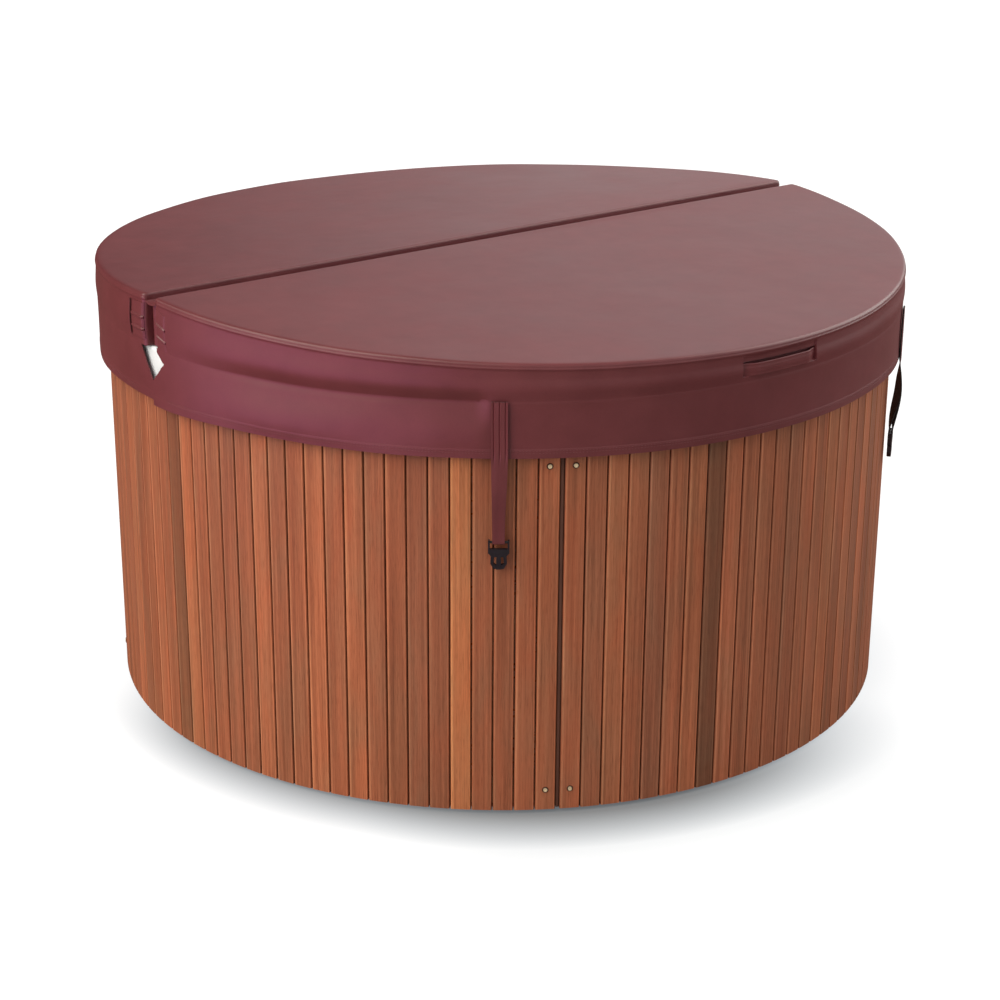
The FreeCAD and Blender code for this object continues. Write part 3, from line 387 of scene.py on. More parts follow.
def webbingFinish():  # the strap's black backing and cut edges
    finish, tree, shader = newFinish("strapBacking")
    weave = cells(tree, objectSpot(tree), 900.0)
    colour = tones(tree, weave, (0.0, (0.018, 0.016, 0.017)), (0.8, (0.034, 0.030, 0.031)))
    dressed(tree, shader, colour, spread(tree, weave, 0.6, 0.85))
    raised(tree, shader, weave, 0.0004, 0.4)
    return finish


def threadFinish():
    finish, tree, shader = newFinish("wineThread")
    twist = grains(tree, objectSpot(tree), 1500.0, 2.0)
    colour = tones(tree, twist, (0.3, (0.10, 0.022, 0.028)), (0.7, (0.21, 0.062, 0.07)))
    dressed(tree, shader, colour, spread(tree, twist, 0.45, 0.7))
    return finish


def linerFinish():  # woven film under the foam
    finish, tree, shader = newFinish("coverLiner")
    spot = objectSpot(tree)
    wires = []
    for way in ("X", "Y"):
        bands = put(tree, "ShaderNodeTexWave", {"Vector": spot, "Scale": 160.0}, bands_direction=way)
        wires.append(bands.outputs["Fac"])
    weave = times(tree, *wires)
    cloud = grains(tree, spot, 5.0, 3.0)
    colour = tones(tree, cloud, (0.3, (0.56, 0.57, 0.58)), (0.7, (0.70, 0.71, 0.72)))
    colour = tinted(tree, colour, tones(tree, weave, (0.0, (0.86, 0.86, 0.87)), (0.7, (1.0, 1.0, 1.0))))
    dressed(tree, shader, colour, spread(tree, cloud, 0.38, 0.56))
    raised(tree, shader, weave, 0.0004, 0.3)
    return finish


def acrylicFinish():  # pearl white shell, polished
    finish, tree, shader = newFinish("pearlAcrylic")
    spot = objectSpot(tree)
    vein = grains(tree, spot, 3.2, 6.0, 0.62, 1.6)
    fleck = cells(tree, spot, 240.0)
    dull, bright, pale = (0.74, 0.77, 0.81), (0.85, 0.89, 0.94), (0.80, 0.84, 0.90)
    colour = tones(tree, vein, (0.34, dull), (0.52, bright), (0.66, pale))
    colour = tinted(tree, colour, tones(tree, fleck, (0.0, (0.94, 0.94, 0.95)), (0.2, (1.0, 1.0, 1.0))))
    dressed(tree, shader, colour, spread(tree, vein, 0.12, 0.24))
    shader.inputs["Coat Weight"].default_value = 0.6
    shader.inputs["Coat Roughness"].default_value = 0.06
    raised(tree, shader, grains(tree, spot, 26.0, 2.0), 0.001, 0.08)
    return finish


def mouldedFinish(name, colour, rough, grainScale=1400.0, depth=0.0003, metal=0.0):
    finish, tree, shader = newFinish(name)
    spot = objectSpot(tree)
    cloud = grains(tree, spot, 14.0, 4.0, 0.6)
    fine = grains(tree, spot, grainScale, 2.0, 0.6)
    low = tuple(c * 0.84 for c in colour)
    high = tuple(min(1.0, c * 1.14 + 0.003) for c in colour)
    mottle = times(tree, cloud, fine)
    gloss = spread(tree, mottle, rough * 0.82, rough * 1.3)
    dressed(tree, shader, tones(tree, cloud, (0.3, low), (0.7, high)), gloss)
    raised(tree, shader, fine, depth, 0.3)
    shader.inputs["Metallic"].default_value = metal
    return finish


def brushedFinish(name, colour, rough, squeeze):  # metal with fine lines along one axis
    finish, tree, shader = newFinish(name)
    mapped = put(tree, "ShaderNodeMapping", {"Vector": objectSpot(tree), "Scale": squeeze}).outputs[0]
    lines = grains(tree, mapped, 1.0, 3.0, 0.6)
    low = tuple(c * 0.86 for c in colour)
    gloss = spread(tree, lines, rough * 0.8, rough * 1.4)
    dressed(tree, shader, tones(tree, lines, (0.3, low), (0.7, colour)), gloss)
    raised(tree, shader, lines, 0.0003, 0.2)
    shader.inputs["Metallic"].default_value = 1.0
    return finish


def pineFinish():  # rough-sawn carcass timber
    finish, tree, shader = newFinish("sawnPine")
    turn, rise = aroundAxis(tree)
    spot = placed(tree, times(tree, turn, 5.0), 0.0, times(tree, rise, 90.0))
    rings = grains(tree, spot, 1.0, 4.0, 0.6, 0.8)
    dark, middle, pale = (0.36, 0.22, 0.11), (0.56, 0.40, 0.23), (0.63, 0.47, 0.29)
    colour = tones(tree, rings, (0.28, dark), (0.55, middle), (0.75, pale))
    dressed(tree, shader, colour, spread(tree, rings, 0.6, 0.8))
    raised(tree, shader, rings, 0.0008, 0.4)
    return finish


def foilFinish():  # quilted reflective wrap
    finish, tree, shader = newFinish("bubbleFoil")
    turn, rise = aroundAxis(tree)
    bubbles = cells(tree, placed(tree, times(tree, turn, 0.83), rise, 0.0), 95.0)
    colour = tones(tree, bubbles, (0.0, (0.82, 0.82, 0.83)), (0.8, (0.62, 0.63, 0.65)))
    dressed(tree, shader, colour, spread(tree, bubbles, 0.22, 0.4))
    raised(tree, shader, calc(tree, "SUBTRACT", 1.0, bubbles), 0.004, 0.5)
    shader.inputs["Metallic"].default_value = 0.85
    return finish


def pleatFinish():  # filter paper in fine pleats
    finish, tree, shader = newFinish("pleatedPaper")
    spot = objectSpot(tree)
    fibre = grains(tree, spot, 320.0, 3.0)
    stain = grains(tree, spot, 16.0, 3.0)
    colour = tones(tree, stain, (0.3, (0.72, 0.75, 0.78)), (0.7, (0.86, 0.88, 0.90)))
    colour = tinted(tree, colour, tones(tree, fibre, (0.35, (0.9, 0.9, 0.9)), (0.6, (1.0, 1.0, 1.0))))
    dressed(tree, shader, colour, spread(tree, fibre, 0.78, 0.92))
    raised(tree, shader, fibre, 0.0006, 0.4)
    return finish


def glassFinish(name, colour, rough, through):
    finish, tree, shader = newFinish(name)
    smear = grains(tree, objectSpot(tree), 22.0, 3.0)
    low = tuple(c * 0.9 for c in colour)
    gloss = spread(tree, smear, rough * 0.7, rough * 1.5)
    dressed(tree, shader, tones(tree, smear, (0.3, low), (0.7, colour)), gloss)
    shader.inputs["Transmission Weight"].default_value = through
    shader.inputs["IOR"].default_value = 1.49
    return finish


finishes = {
    "wood": boardFinish(),
    "timber": pineFinish(),
    "pan_plastic": mouldedFinish("basePanPlastic", (0.028, 0.028, 0.030), 0.55),
    "screw_steel": mouldedFinish("brassScrew", (0.95, 0.80, 0.54), 0.34, 900.0, metal=0.45),
    "insulation": foilFinish(),
    "acrylic": acrylicFinish(),
    "grey_plastic": mouldedFinish("fittingGrey", (0.30, 0.31, 0.32), 0.34),
    "nozzle_plastic": mouldedFinish("nozzleGrey", (0.42, 0.43, 0.45), 0.26),
    "gasket_rubber": mouldedFinish("gasketRubber", (0.020, 0.020, 0.021), 0.72, 900.0, 0.0004),
    "pipe_plastic": mouldedFinish("pipePlastic", (0.74, 0.74, 0.72), 0.36),
    "panel_plastic": mouldedFinish("panelPlastic", (0.045, 0.047, 0.052), 0.30),
    "display_glass": glassFinish("displayGlass", (0.012, 0.018, 0.026), 0.10, 0.0),
    "lens_glass": glassFinish("lightLens", (0.86, 0.90, 0.93), 0.16, 0.55),
    "filter_paper": pleatFinish(),
    "weir_plastic": mouldedFinish("weirPlastic", (0.62, 0.63, 0.64), 0.36),
    "motor_paint": mouldedFinish("motorPaint", (0.040, 0.052, 0.070), 0.40, 260.0, 0.0008),
    "rotor_plastic": mouldedFinish("rotorPlastic", (0.055, 0.055, 0.058), 0.42),
    "heater_steel": brushedFinish("heaterSteel", (0.66, 0.66, 0.67), 0.28, (60, 60, 1400)),
    "valve_brass": brushedFinish("valveBrass", (0.78, 0.58, 0.30), 0.30, (700, 700, 700)),
    "lever_plastic": mouldedFinish("leverPlastic", (0.42, 0.030, 0.024), 0.36),
    "foam": mouldedFinish("foamCore", (0.86, 0.86, 0.84), 0.85, 260.0, 0.0015),
    "vinyl": vinylFinish(),
    "buckle_plastic": mouldedFinish("bucklePlastic", (0.007, 0.009, 0.013), 0.40),
}
vinyl = finishes["vinyl"]
webbing = webbingFinish()
thread = threadFinish()
liner = linerFinish()
# dark brown of the seal strip: partly its own colour, partly painted shade of the panel gap
sealRubber = mouldedFinish("sealRubber", (0.090, 0.030, 0.015), 0.8, 900.0, 0.0004)
# the cups' near-black is painted shade round each screw head
cupBronze = mouldedFinish("cupBronze", (0.060, 0.022, 0.012), 0.45, metal=0.6)
print("finishes made:", len(finishes), "for nodes, 5 for trim")

# Every carried-over node takes the finish of its slot in the record
for part in frame["record"]["subparts"]:
    for place in nodes[part["node"]].material_slots:
        place.material = finishes[part["material_slot"]]
print("nodes dressed")


# Cover: two foam halves in vinyl, folding along X

backLow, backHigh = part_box("cover_back_jacket")
cover = dict(
    radius=backHigh.x,
    foot=backLow.z,
    top=backHigh.z,
    foldHalf=backLow.y,
    hem=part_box("cover_front_skirt")[0].z,
    edgeFall=0.0425,  # the top slopes this far from the fold to the edge
    rimRound=0.006,
    foldRound=0.006,
    endRound=0.010,
    bulge=0.002,  # of the boxing, at half its height
    cordDrop=0.0105,  # sewn cord below the rim
    cordOut=0.0012,
    cordShape=((0, -0.0028), (0.6, -0.0017), (1, 0), (0.6, 0.0017), (0.05, 0.003)),  # share out, fall
    cordFoot=0.0065,
    topRings=22,
    rimRings=(0.024, 0.014),  # in from the edge
    rimLeans=(0, 22, 45, 67, 90),
    footRings=(0.9, 0.6, 0.3, 0),
    foldLines=(0.0008, 0.003, 0.0065, 0.012, 0.022, 0.04),  # cuts that let the fold's edge round off
    sideSteps=26,
    turnSteps=216,
)
halfNames = {1: "back", -1: "front"}  # by the side of the fold
seeds = {1: 4.3, -1: 11.7}
coverWaves = dict(  # height, waves per metre, then waves up the side or a shift of the seed
    side=((0.0016, 2.6, 7.0), (0.0007, 8.0, 20.0)),
    top=((0.0024, 1.9, 0), (0.0009, 6.0, 3)),
)
recess = dict(  # the boxing sinks round a grab handle, deeper behind it
    inner=0.1000,  # half widths
    outer=0.1012,
    depth=0.0030,
    foot=(0.9010, 0.9120),
    head=(0.9425, 0.9450),
    behindDepth=0.0075,
    behindFoot=(0.9030, 0.9065),
    behindHead=(0.9295, 0.9325),
)
crease = dict(  # between boxing and skirt, where the front skirt hangs loose left of its strap
    fromTurn=(-180, -158),
    toTurn=(-130.2, -129.4),
    deep=0.0058,
    stray=0.0022,
    above=0.020,
    below=0.040,
    pinch=0.0015,
    pinchTall=0.0065,
)


def dropAt(y):
    return cover["edgeFall"] * max(0.0, abs(y) - cover["foldHalf"]) / (cover["radius"] - cover["foldHalf"])


def eased(distance, radius):  # fall of a rounded edge at a distance from it
    if distance >= radius:
        return 0.0
    return radius - math.sqrt(max(0.0, radius ** 2 - (radius - distance) ** 2))


def sideWave(x, y, z, side):
    return sum(high * wave(x * n, y * n, z * up + seeds[side]) for high, n, up in coverWaves["side"])


def topWave(x, y, side):
    return sum(high * wave(x * n, y * n, seeds[side] + shift) for high, n, shift in coverWaves["top"])


def frontSlack(x, y, side):  # one where the front skirt hangs loose
    if side > 0:
        return 0.0
    turn = math.degrees(math.atan2(y, x))
    turn = turn if turn < 90 else turn - 360
    return ramp01(turn, *crease["fromTurn"]) * (1 - ramp01(turn, *crease["toTurn"]))


def valley(x, y, z, side):  # depth of the crease
    look = crease
    rise = z - cover["foot"]
    deep = look["deep"] + look["stray"] * wave(x * 5.0, y * 5.0, 8.0)
    gap = rise / (look["above"] if rise > 0 else look["below"])
    pinch = look["pinch"] * math.exp(-(rise / look["pinchTall"]) ** 2)
    return frontSlack(x, y, side) * (deep * math.exp(-gap ** 2) + pinch)


def recessAt(x, y, z):
    look = recess
    atHandle = (1 - ramp01(abs(x), look["inner"], look["outer"])) * ramp01(abs(y), 0.7, 0.8)
    behind = ramp01(z, *look["behindFoot"]) * (1 - ramp01(z, *look["behindHead"]))
    around = look["depth"] * ramp01(z, *look["foot"]) * (1 - ramp01(z, *look["head"]))
    return atHandle * (around + look["behindDepth"] * behind)


def outward(obj):  # open skins face away from the axis
    lean = sum(Vector((f.center.x, f.center.y, 0)).dot(f.normal) * f.area for f in obj.data.polygons)
    if lean < 0:
        openEdit(obj)
        bpy.ops.mesh.flip_normals()
        closeEdit()


def coverHalf(name, side):
    radius, top, foot = cover["radius"], cover["top"], cover["foot"]
    rimRound, cordHigh = cover["rimRound"], cover["top"] - cover["cordDrop"]
    line = [(radius * i / cover["topRings"], 0, top) for i in range(cover["topRings"])]
    line += [(radius - back, 0, top) for back in cover["rimRings"]]
    for angle in cover["rimLeans"]:
        lean = math.radians(angle)
        line.append((radius + rimRound * (math.sin(lean) - 1), 0, top + rimRound * (math.cos(lean) - 1)))
    line += [(radius + out * cover["cordOut"], 0, cordHigh - fall) for out, fall in cover["cordShape"]]
    sideTop = cordHigh - cover["cordFoot"]
    for i in range(cover["sideSteps"] + 1):
        share = i / cover["sideSteps"]
        swell = cover["bulge"] * math.sin(math.pi * share) ** 2
        line.append((radius + swell, 0, sideTop + (foot + 0.001 - sideTop) * share))
    line.append((radius - 0.005, 0, foot))
    line += [(radius * share, 0, foot) for share in cover["footRings"]]
    obj = drawLine(name, line)
    spinHalf(obj, cover["turnSteps"])
    cutAlong(obj, (0, cover["foldHalf"], 0), (0, 1, 0), clear=True, fill=True)
    for gap in cover["foldLines"]:
        cutAlong(obj, (0, cover["foldHalf"] + gap, 0), (0, 1, 0))
    for x in (-recess["outer"], -recess["inner"], recess["inner"], recess["outer"]):
        cutAlong(obj, (x, 0, 0), (1, 0, 0))

    def rule(p):
        x, y = p.x * side, p.y * side
        gap = p.y - cover["foldHalf"]
        out = math.hypot(p.x, p.y)
        high = min(1.0, max(0.0, (p.z - foot) / (top - 0.03 - foot)))
        z = p.z - dropAt(p.y) * high - eased(gap, cover["foldRound"]) * ramp01(p.z, top - 0.05, top - 0.001)
        z += topWave(x, y, side) * ramp01(p.z, foot + 0.02, top - 0.02) * ramp01(gap, -0.001, 0.03)
        push = sideWave(x, y, z, side) - eased(gap, cover["endRound"])
        push -= valley(x, y, z, side)
        push -= recessAt(p.x, p.y, z)
        onSide = ramp01(out, radius - 0.03, radius - 0.006)
        scale = (out + push * onSide) / out if out > 0.001 else 1.0
        return Vector((p.x * scale, cover["foldHalf"] + max(0.0, p.y * scale - cover["foldHalf"]), z))

    reshape(obj, rule)
    if side < 0:
        turned(obj, math.pi)
    tidyFaces(obj)
    finished(obj, 50, vinyl, liner)
    for face in obj.data.polygons:
        face.material_index = 1 if face.normal.z < -0.8 else 0
    return obj


halves = {}
for side, half in halfNames.items():
    name = "cover_" + half
    slab = coverHalf(name, side)
    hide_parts(name + "_core", name + "_jacket")
    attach(slab, half + "_half")
    halves[side] = slab
    print("half:", name, len(slab.data.polygons))


# Skirts: a hanging band of vinyl round each half, notched at the fold

skirtLook = dict(
    lap=0.0070,  # sewn to the outside of the slab's foot
    tuck=0.0006,  # the lap's head lies this much closer
    proud=0.0003,
    thick=0.0022,
    stray=0.0022,
    belly=0.0026,  # slack left front: a low belly with slanting ripples
    ripple=0.0034,
    crumple=0.0012,
    # half a diamond at each fold end: width at the slab, widest, depth of the widest, full depth
    notch={1: (0.0420, 0.0425, 0.0010, 0.068), -1: (0.0225, 0.046, 0.024, 0.068)},
    hemTall=0.019,
    hemProud=0.0003,
    hemStep=0.0004,
    sag={1: -0.003, -1: 0.009},  # at the left fold end the front band hangs lower than the back
    steps=240,
    rows=24,
)


def skirtSlack(x, y, z, side):  # push outward of the hanging band
    look = skirtLook
    depth = cover["foot"] - z
    fall = min(1.0, max(0.0, depth / (cover["foot"] - cover["hem"])))
    push = look["proud"] - look["tuck"] * min(1.0, max(0.0, -depth / look["lap"]))
    push += sideWave(x, y, z, side) - valley(x, y, z, side)
    push += look["stray"] * fall * wave(x * 4.2, y * 4.2, z * 3.0 + side)
    slack = frontSlack(x, y, side)
    ripple = look["ripple"] * wave(x * 6.0, y * 6.0, z * 6.0 + 2.0)
    push += slack * (look["belly"] + ripple) * math.sin(math.pi * fall ** 1.4) ** 1.5
    push += look["crumple"] * slack * fall * wave(x * 15.0, y * 15.0, z * 14.0)
    if z < cover["hem"] + look["hemTall"]:
        push += look["hemProud"]
    return push


def notch(obj, side):
    head, wide, corner, tall = skirtLook["notch"][side]
    bend = cover["foot"] - corner
    cutAlong(obj, (0, 0, cover["foot"]), (0, 0, 1))
    cutAlong(obj, (0, head, 0), (0, 1, 0))
    cutAlong(obj, (0, wide, bend), (0, corner, wide - head))
    cutAlong(obj, (0, wide, bend), (0, tall - corner, -wide))
    openEdit(obj)
    bpy.ops.mesh.select_mode(type="FACE")
    bpy.ops.mesh.select_all(action="DESELECT")
    closeEdit()
    for face in obj.data.polygons:
        depth = cover["foot"] - face.center.z
        if depth < corner:
            reach = head + (wide - head) * max(0.0, depth) / corner
        else:
            reach = wide * (tall - depth) / (tall - corner)
        face.select = face.center.y < reach
    bpy.ops.object.mode_set(mode="EDIT")
    bpy.ops.mesh.delete(type="FACE")
    closeEdit()


def skirt(name, side):
    look = skirtLook
    radius, hem = cover["radius"], cover["hem"]
    head = cover["foot"] + look["lap"]
    heights = [head - (head - hem) * i / look["rows"] for i in range(look["rows"] + 1)]
    heights += [hem + look["hemTall"] + look["hemStep"], hem + look["hemTall"] - look["hemStep"]]
    obj = drawLine(name, [(radius, 0, z) for z in sorted(heights, reverse=True)])
    spinHalf(obj, look["steps"])
    cutAlong(obj, (0, 0.0006, 0), (0, 1, 0), clear=True)
    notch(obj, side)

    def rule(p):
        x, y = p.x * side, p.y * side
        scale = 1 + skirtSlack(x, y, p.z, side) / radius
        sag = look["sag"][side] * (1 - ramp01(p.y, 0.0, 0.30)) if x < 0 else 0.0
        return Vector((p.x * scale, p.y * scale, p.z - sag * ramp01(cover["foot"] - p.z, 0.05, 0.11)))

    reshape(obj, rule)
    if side < 0:
        turned(obj, math.pi)
    tidyFaces(obj)
    outward(obj)
    applied(obj, "SOLIDIFY", thickness=look["thick"], offset=-1)
    return finished(obj, 40, vinyl)


for side, half in halfNames.items():
    name = "cover_" + half + "_skirt"
    band = skirt(name + "_cloth", side)
    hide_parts(name)
    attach(band, half + "_half")
    head, wide, corner, tall = skirtLook["notch"][side]
    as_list(halves[side].name)
    print("skirt:", name, len(band.data.polygons))


# Hinge strip: sags in the fold

stripLook = dict(
    half=0.0195,
    reach=0.904,
    edgeDrop=0.0150,
    sag=0.005,
    stray=0.0016,
    thick=0.0022,
    steps=(170, 14),  # along and across
    cutWide=0.0415,
    bendHalf=0.018,
)


def hingeStrip():
    look = stripLook
    along, over = look["steps"]
    deselectAll()
    bpy.ops.mesh.primitive_grid_add(x_subdivisions=along, y_subdivisions=over, size=2)
    obj = bpy.context.object
    obj.name = "cover_hinge_cloth"

    def rule(p):
        x, y = p.x * look["reach"], p.y * look["half"]
        z = cover["top"] - look["edgeDrop"] - look["sag"] * (1 - p.y ** 2)
        z += look["stray"] * wave(x * 5.0, y * 20.0, 3.0) * (1 - p.y ** 4)
        return Vector((x, y, z))

    reshape(obj, rule)
    applied(obj, "SOLIDIFY", thickness=look["thick"], offset=-1)
    return finished(obj, 60, vinyl)


strip = hingeStrip()
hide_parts("cover_hinge_strip")
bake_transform(strip)
print("hinge strip made")


# Fold ends: a rolled flap in the gap, and reinforcing patches sewn to both halves

foldEnd = dict(
    sunk=0.026,  # the flap lies this far behind the boxing
    belly=0.012,
    near=-0.0110,
    far=0.0192,
    flapFoot=0.003,
    flapHead=0.019,
    flapLift=0.010,  # of its lower corners
    flapStray=0.0016,
    flapThick=0.002,
    flapSteps=(20, 16),
    flapFlat=(0.042, 0.092),
    patchFrom=0.003,
    patchTo={1: 0.054, -1: 0.040},
    proud={1: 0.0024, -1: 0.0007},
    patchHead=0.020,
    patchFoot=0.016,
    patchSteps=(12, 72),
    rolled=0.0012,  # fall of a patch's edges
    thick=0.0026,
    ridgeFrom=0.0590,  # folded seam beyond the back patch, a slit between
    ridgeTo=0.0650,
    ridgeProud=0.0042,
    welts=(0.051, 0.077),  # raised bands below the rim, under the stitch rows
    weltHalf=0.0026,
    weltProud=0.0024,
    slant={1: 0.0, -1: 0.30},  # fall of the rows along a patch
    rows=(0.047, 0.055, 0.073, 0.081),  # stitch rows below the rim
    boxingHead=0.017,  # below the rim
    boxingLess=0.023,  # rim and foot that aren't part of the bulge
)


def foldFlap(name, end):  # end is 1 or -1 along X
    look = foldEnd
    edge = math.sqrt(cover["radius"] ** 2 - cover["foldHalf"] ** 2) - look["sunk"]
    middle, half = (look["near"] + look["far"]) / 2, (look["far"] - look["near"]) / 2
    across, up = look["flapSteps"]
    low = cover["foot"] + look["flapFoot"]
    points = []
    for i in range(across + 1):
        lean = math.pi * (i / across - 0.5)
        points.append((edge + look["belly"] * math.cos(lean), middle + half * math.sin(lean), low))
    obj = drawLine(name, points)
    tall = cover["top"] - look["flapHead"] - low
    pullOut(obj, (0, 0, tall / up), up)

    def rule(p):
        rise = (p.z - cover["foot"]) / tall
        slack = look["flapStray"] * wave(p.y * 60, p.z * 16, 2.0 + end)
        lift = look["flapLift"] * ((p.y - middle) / half) ** 2 * (1 - ramp01(rise, 0.0, 0.3))
        return Vector(((p.x + slack) * end, p.y, p.z + lift))

    reshape(obj, rule)
    tidyFaces(obj)
    outward(obj)
    applied(obj, "SOLIDIFY", thickness=look["flapThick"], offset=-1)
    return finished(obj, 60, vinyl)


def boxingSpot(y, z, side, end, out):  # a point on the boxing, y from the fold's middle
    radius, head = cover["radius"], cover["top"] - dropAt(y)
    x = math.sqrt(radius ** 2 - y ** 2) * end
    span = (head - foldEnd["boxingHead"] - z) / (head - foldEnd["boxingLess"] - cover["foot"])
    bulge = cover["bulge"] * math.sin(math.pi * min(1.0, max(0.0, span))) ** 2
    push = out + bulge + sideWave(x, y * side, z, side) - valley(x, y * side, z, side)
    scale = 1 + (push - eased(y - cover["foldHalf"], cover["endRound"])) / radius
    return Vector((x * scale, y * side * scale, z))


def patch(name, side, end, reach, proud, welts=()):  # a plate on the boxing beside the fold
    look = foldEnd
    across, up = look["patchSteps"]
    low = cover["foot"] + look["patchFoot"]
    obj = drawLine(name, [(0, i / across, 0) for i in range(across + 1)])
    pullOut(obj, (0, 0, 1 / up), up)

    def rule(p):
        y = cover["foldHalf"] + reach[0] + (reach[1] - reach[0]) * p.y
        z = low + (cover["top"] - dropAt(y) - look["patchHead"] - low) * p.z
        out = proud - look["rolled"] * (max(0.0, abs(p.y - 0.5) - 0.42) / 0.08) ** 2
        for welt in welts:
            away = abs(cover["top"] - z - welt)
            out += look["weltProud"] * (1 - ramp01(away, look["weltHalf"] * 0.6, look["weltHalf"]))
        z -= look["slant"][side] * (y - cover["foldHalf"] - reach[0])
        return boxingSpot(y, z, side, end, out)

    reshape(obj, rule)
    tidyFaces(obj)
    outward(obj)
    applied(obj, "SOLIDIFY", thickness=look["thick"], offset=-1)
    applied(obj, "BEVEL", width=0.0005, segments=2, limit_method="ANGLE")
    return obj


for side, half in halfNames.items():
    patches = []
    for end in (1, -1):
        reach = (foldEnd["patchFrom"], foldEnd["patchTo"][side])
        patches.append(patch("patch", side, end, reach, foldEnd["proud"][side], foldEnd["welts"]))
        if side > 0:
            reach = (foldEnd["ridgeFrom"], foldEnd["ridgeTo"])
            patches.append(patch("ridge", side, end, reach, foldEnd["ridgeProud"]))
    plates = finished(joined("cover_" + half + "_patches", patches), 40, vinyl)
    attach(plates, half + "_half")
for word, end in (("right", 1), ("left", -1)):
    flap = foldFlap("cover_fold_flap_" + word, end)
    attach(flap, "back_half")
    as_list(halves[1].name)
print("fold ends made")


# Stitching: rows of short threads along the seams

stitchLook = dict(
    size=(0.0021, 0.00042, 0.0005),
    patchPitch=0.0055,
    patchInset=0.004,
    patchShort=0.006,  # a row is this much shorter than its patch
    patchProud=0.0002,
    hemPitch=0.0065,
    hemRows=(0.0105, 0.0150),  # above the hem
    hemTurns=(4, 176),
    hemProud=0.0001,
)


def stitchRow(length, pitch):
    deselectAll()
    bpy.ops.mesh.primitive_uv_sphere_add(segments=6, ring_count=4, radius=1)
    obj = bpy.context.object
    bpy.ops.object.mode_set(mode="EDIT")
    bpy.ops.transform.resize(value=stitchLook["size"])
    closeEdit()
    count = max(2, int(length / pitch))
    offset = dict(use_relative_offset=False, use_constant_offset=True)
    applied(obj, "ARRAY", count=count, constant_offset_displace=(length / count, 0, 0), **offset)
    return obj


def patchRow(side, end, fall):
    look = stitchLook
    length = foldEnd["patchTo"][side] - foldEnd["patchFrom"] - look["patchShort"]
    row = stitchRow(length, look["patchPitch"])

    def rule(p):
        y = cover["foldHalf"] + foldEnd["patchFrom"] + look["patchInset"] + p.x
        z = cover["top"] - fall - foldEnd["slant"][side] * (p.x + look["patchInset"]) + p.z
        return boxingSpot(y, z, side, end, foldEnd["proud"][side] + look["patchProud"] + p.y)

    reshape(row, rule)
    return row


def hemRow(side, rise):
    radius = cover["radius"]
    fromTurn, toTurn = stitchLook["hemTurns"]
    row = stitchRow(radius * math.radians(toTurn - fromTurn), stitchLook["hemPitch"])

    def rule(p):
        turn = math.radians(fromTurn) + p.x / radius + (math.pi if side < 0 else 0)
        x, y = radius * math.cos(turn), radius * math.sin(turn)
        z = cover["hem"] + rise + p.z
        scale = 1 + (skirtSlack(x, y, z, side) + stitchLook["hemProud"] + p.y) / radius
        return Vector((x * scale, y * scale, z))

    reshape(row, rule)
    return row


for side, half in halfNames.items():
    rows = [patchRow(side, end, fall) for end in (1, -1) for fall in foldEnd["rows"]]
    rows += [hemRow(side, rise) for rise in stitchLook["hemRows"]]
    sewing = finished(joined("cover_" + half + "_stitching", rows), 60, thread)
    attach(sewing, half + "_half")
print("stitching made")


# Grab handles: a doubled strap across the recess, its ends sewn into the boxing

handleLook = dict(
    half=0.0988,
    low=0.9030,
    high=0.9293,
    sunk=0.004,
    bow=0.0088,
    bowOver=0.03,
    swell=0.0008,
    sewn=0.0007,  # depth of its two sewn lines
    sewnAt=(0.2, 0.8),
    stray=0.0007,
    thick=0.0032,
    steps=(24, 10),  # along each half, and up
)


def handle(name):
    look = handleLook
    along, up = look["steps"]
    points = []
    for i in range(2 * along + 1):
        x = look["half"] * (i / along - 1)
        bow = look["bow"] * ramp01(look["half"] - abs(x), 0.0, look["bowOver"])
        out = cover["radius"] - look["sunk"] + bow
        points.append((x, math.sqrt(out ** 2 - x ** 2), look["low"]))
    strap = drawLine(name, points)
    pullOut(strap, (0, 0, (look["high"] - look["low"]) / up), up)

    def rule(p):
        rise = (p.z - look["low"]) / (look["high"] - look["low"])
        swell = look["swell"] * math.sin(math.pi * rise) ** 0.5 if 0 < rise < 1 else 0
        sewn = look["sewn"] if min(abs(rise - line) for line in look["sewnAt"]) < 0.02 else 0
        return Vector((p.x, p.y + swell - sewn, p.z + look["stray"] * wave(p.x * 14, 1.0, 6.0)))

    reshape(strap, rule)
    outward(strap)
    applied(strap, "SOLIDIFY", thickness=look["thick"], offset=-1)
    applied(strap, "BEVEL", width=0.0007, segments=2, limit_method="ANGLE")
    return finished(strap, 40, vinyl)


for side, half in halfNames.items():
    name = "cover_" + half + "_handle"
    grab = handle(name + "_strap")
    if side < 0:
        turned(grab, math.pi)
    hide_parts(name)
    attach(grab, half + "_half")
print("handles made")


# Tie-down straps: sewn to the skirt, looped round the buckle's bar

strapLook = dict(
    places=dict(  # turn about the axis, twist
        front_left=(-128, 0.12),
        front_right=(-52, 0.62),
        back_right=(52, -0.3),
        back_left=(128, 0.2),
    ),
    head=0.8945,
    split=0.715,  # the doubled band opens into a loop below this
    tail=0.772,
    outer=0.0062,  # both layers, out from the cover's radius
    inner=0.0038,
    between=0.005,
    loop=0.0048,
    barIn=0.0057,
    barHigh=0.6045,
    wideTop=0.0163,
    wideFoot=0.0122,
    wideAt=0.80,
    thick=0.0021,
    sewn=0.772,  # stitched to the skirt above this
    sewnDepth=0.0017,
    stray=(0.0006, 0.0016),  # out and aside
    steps=(28, 16, 20),  # down the front, up the back, across
    loopTurns=range(-20, -171, -15),
    flat=(0.029, 0.47),
)


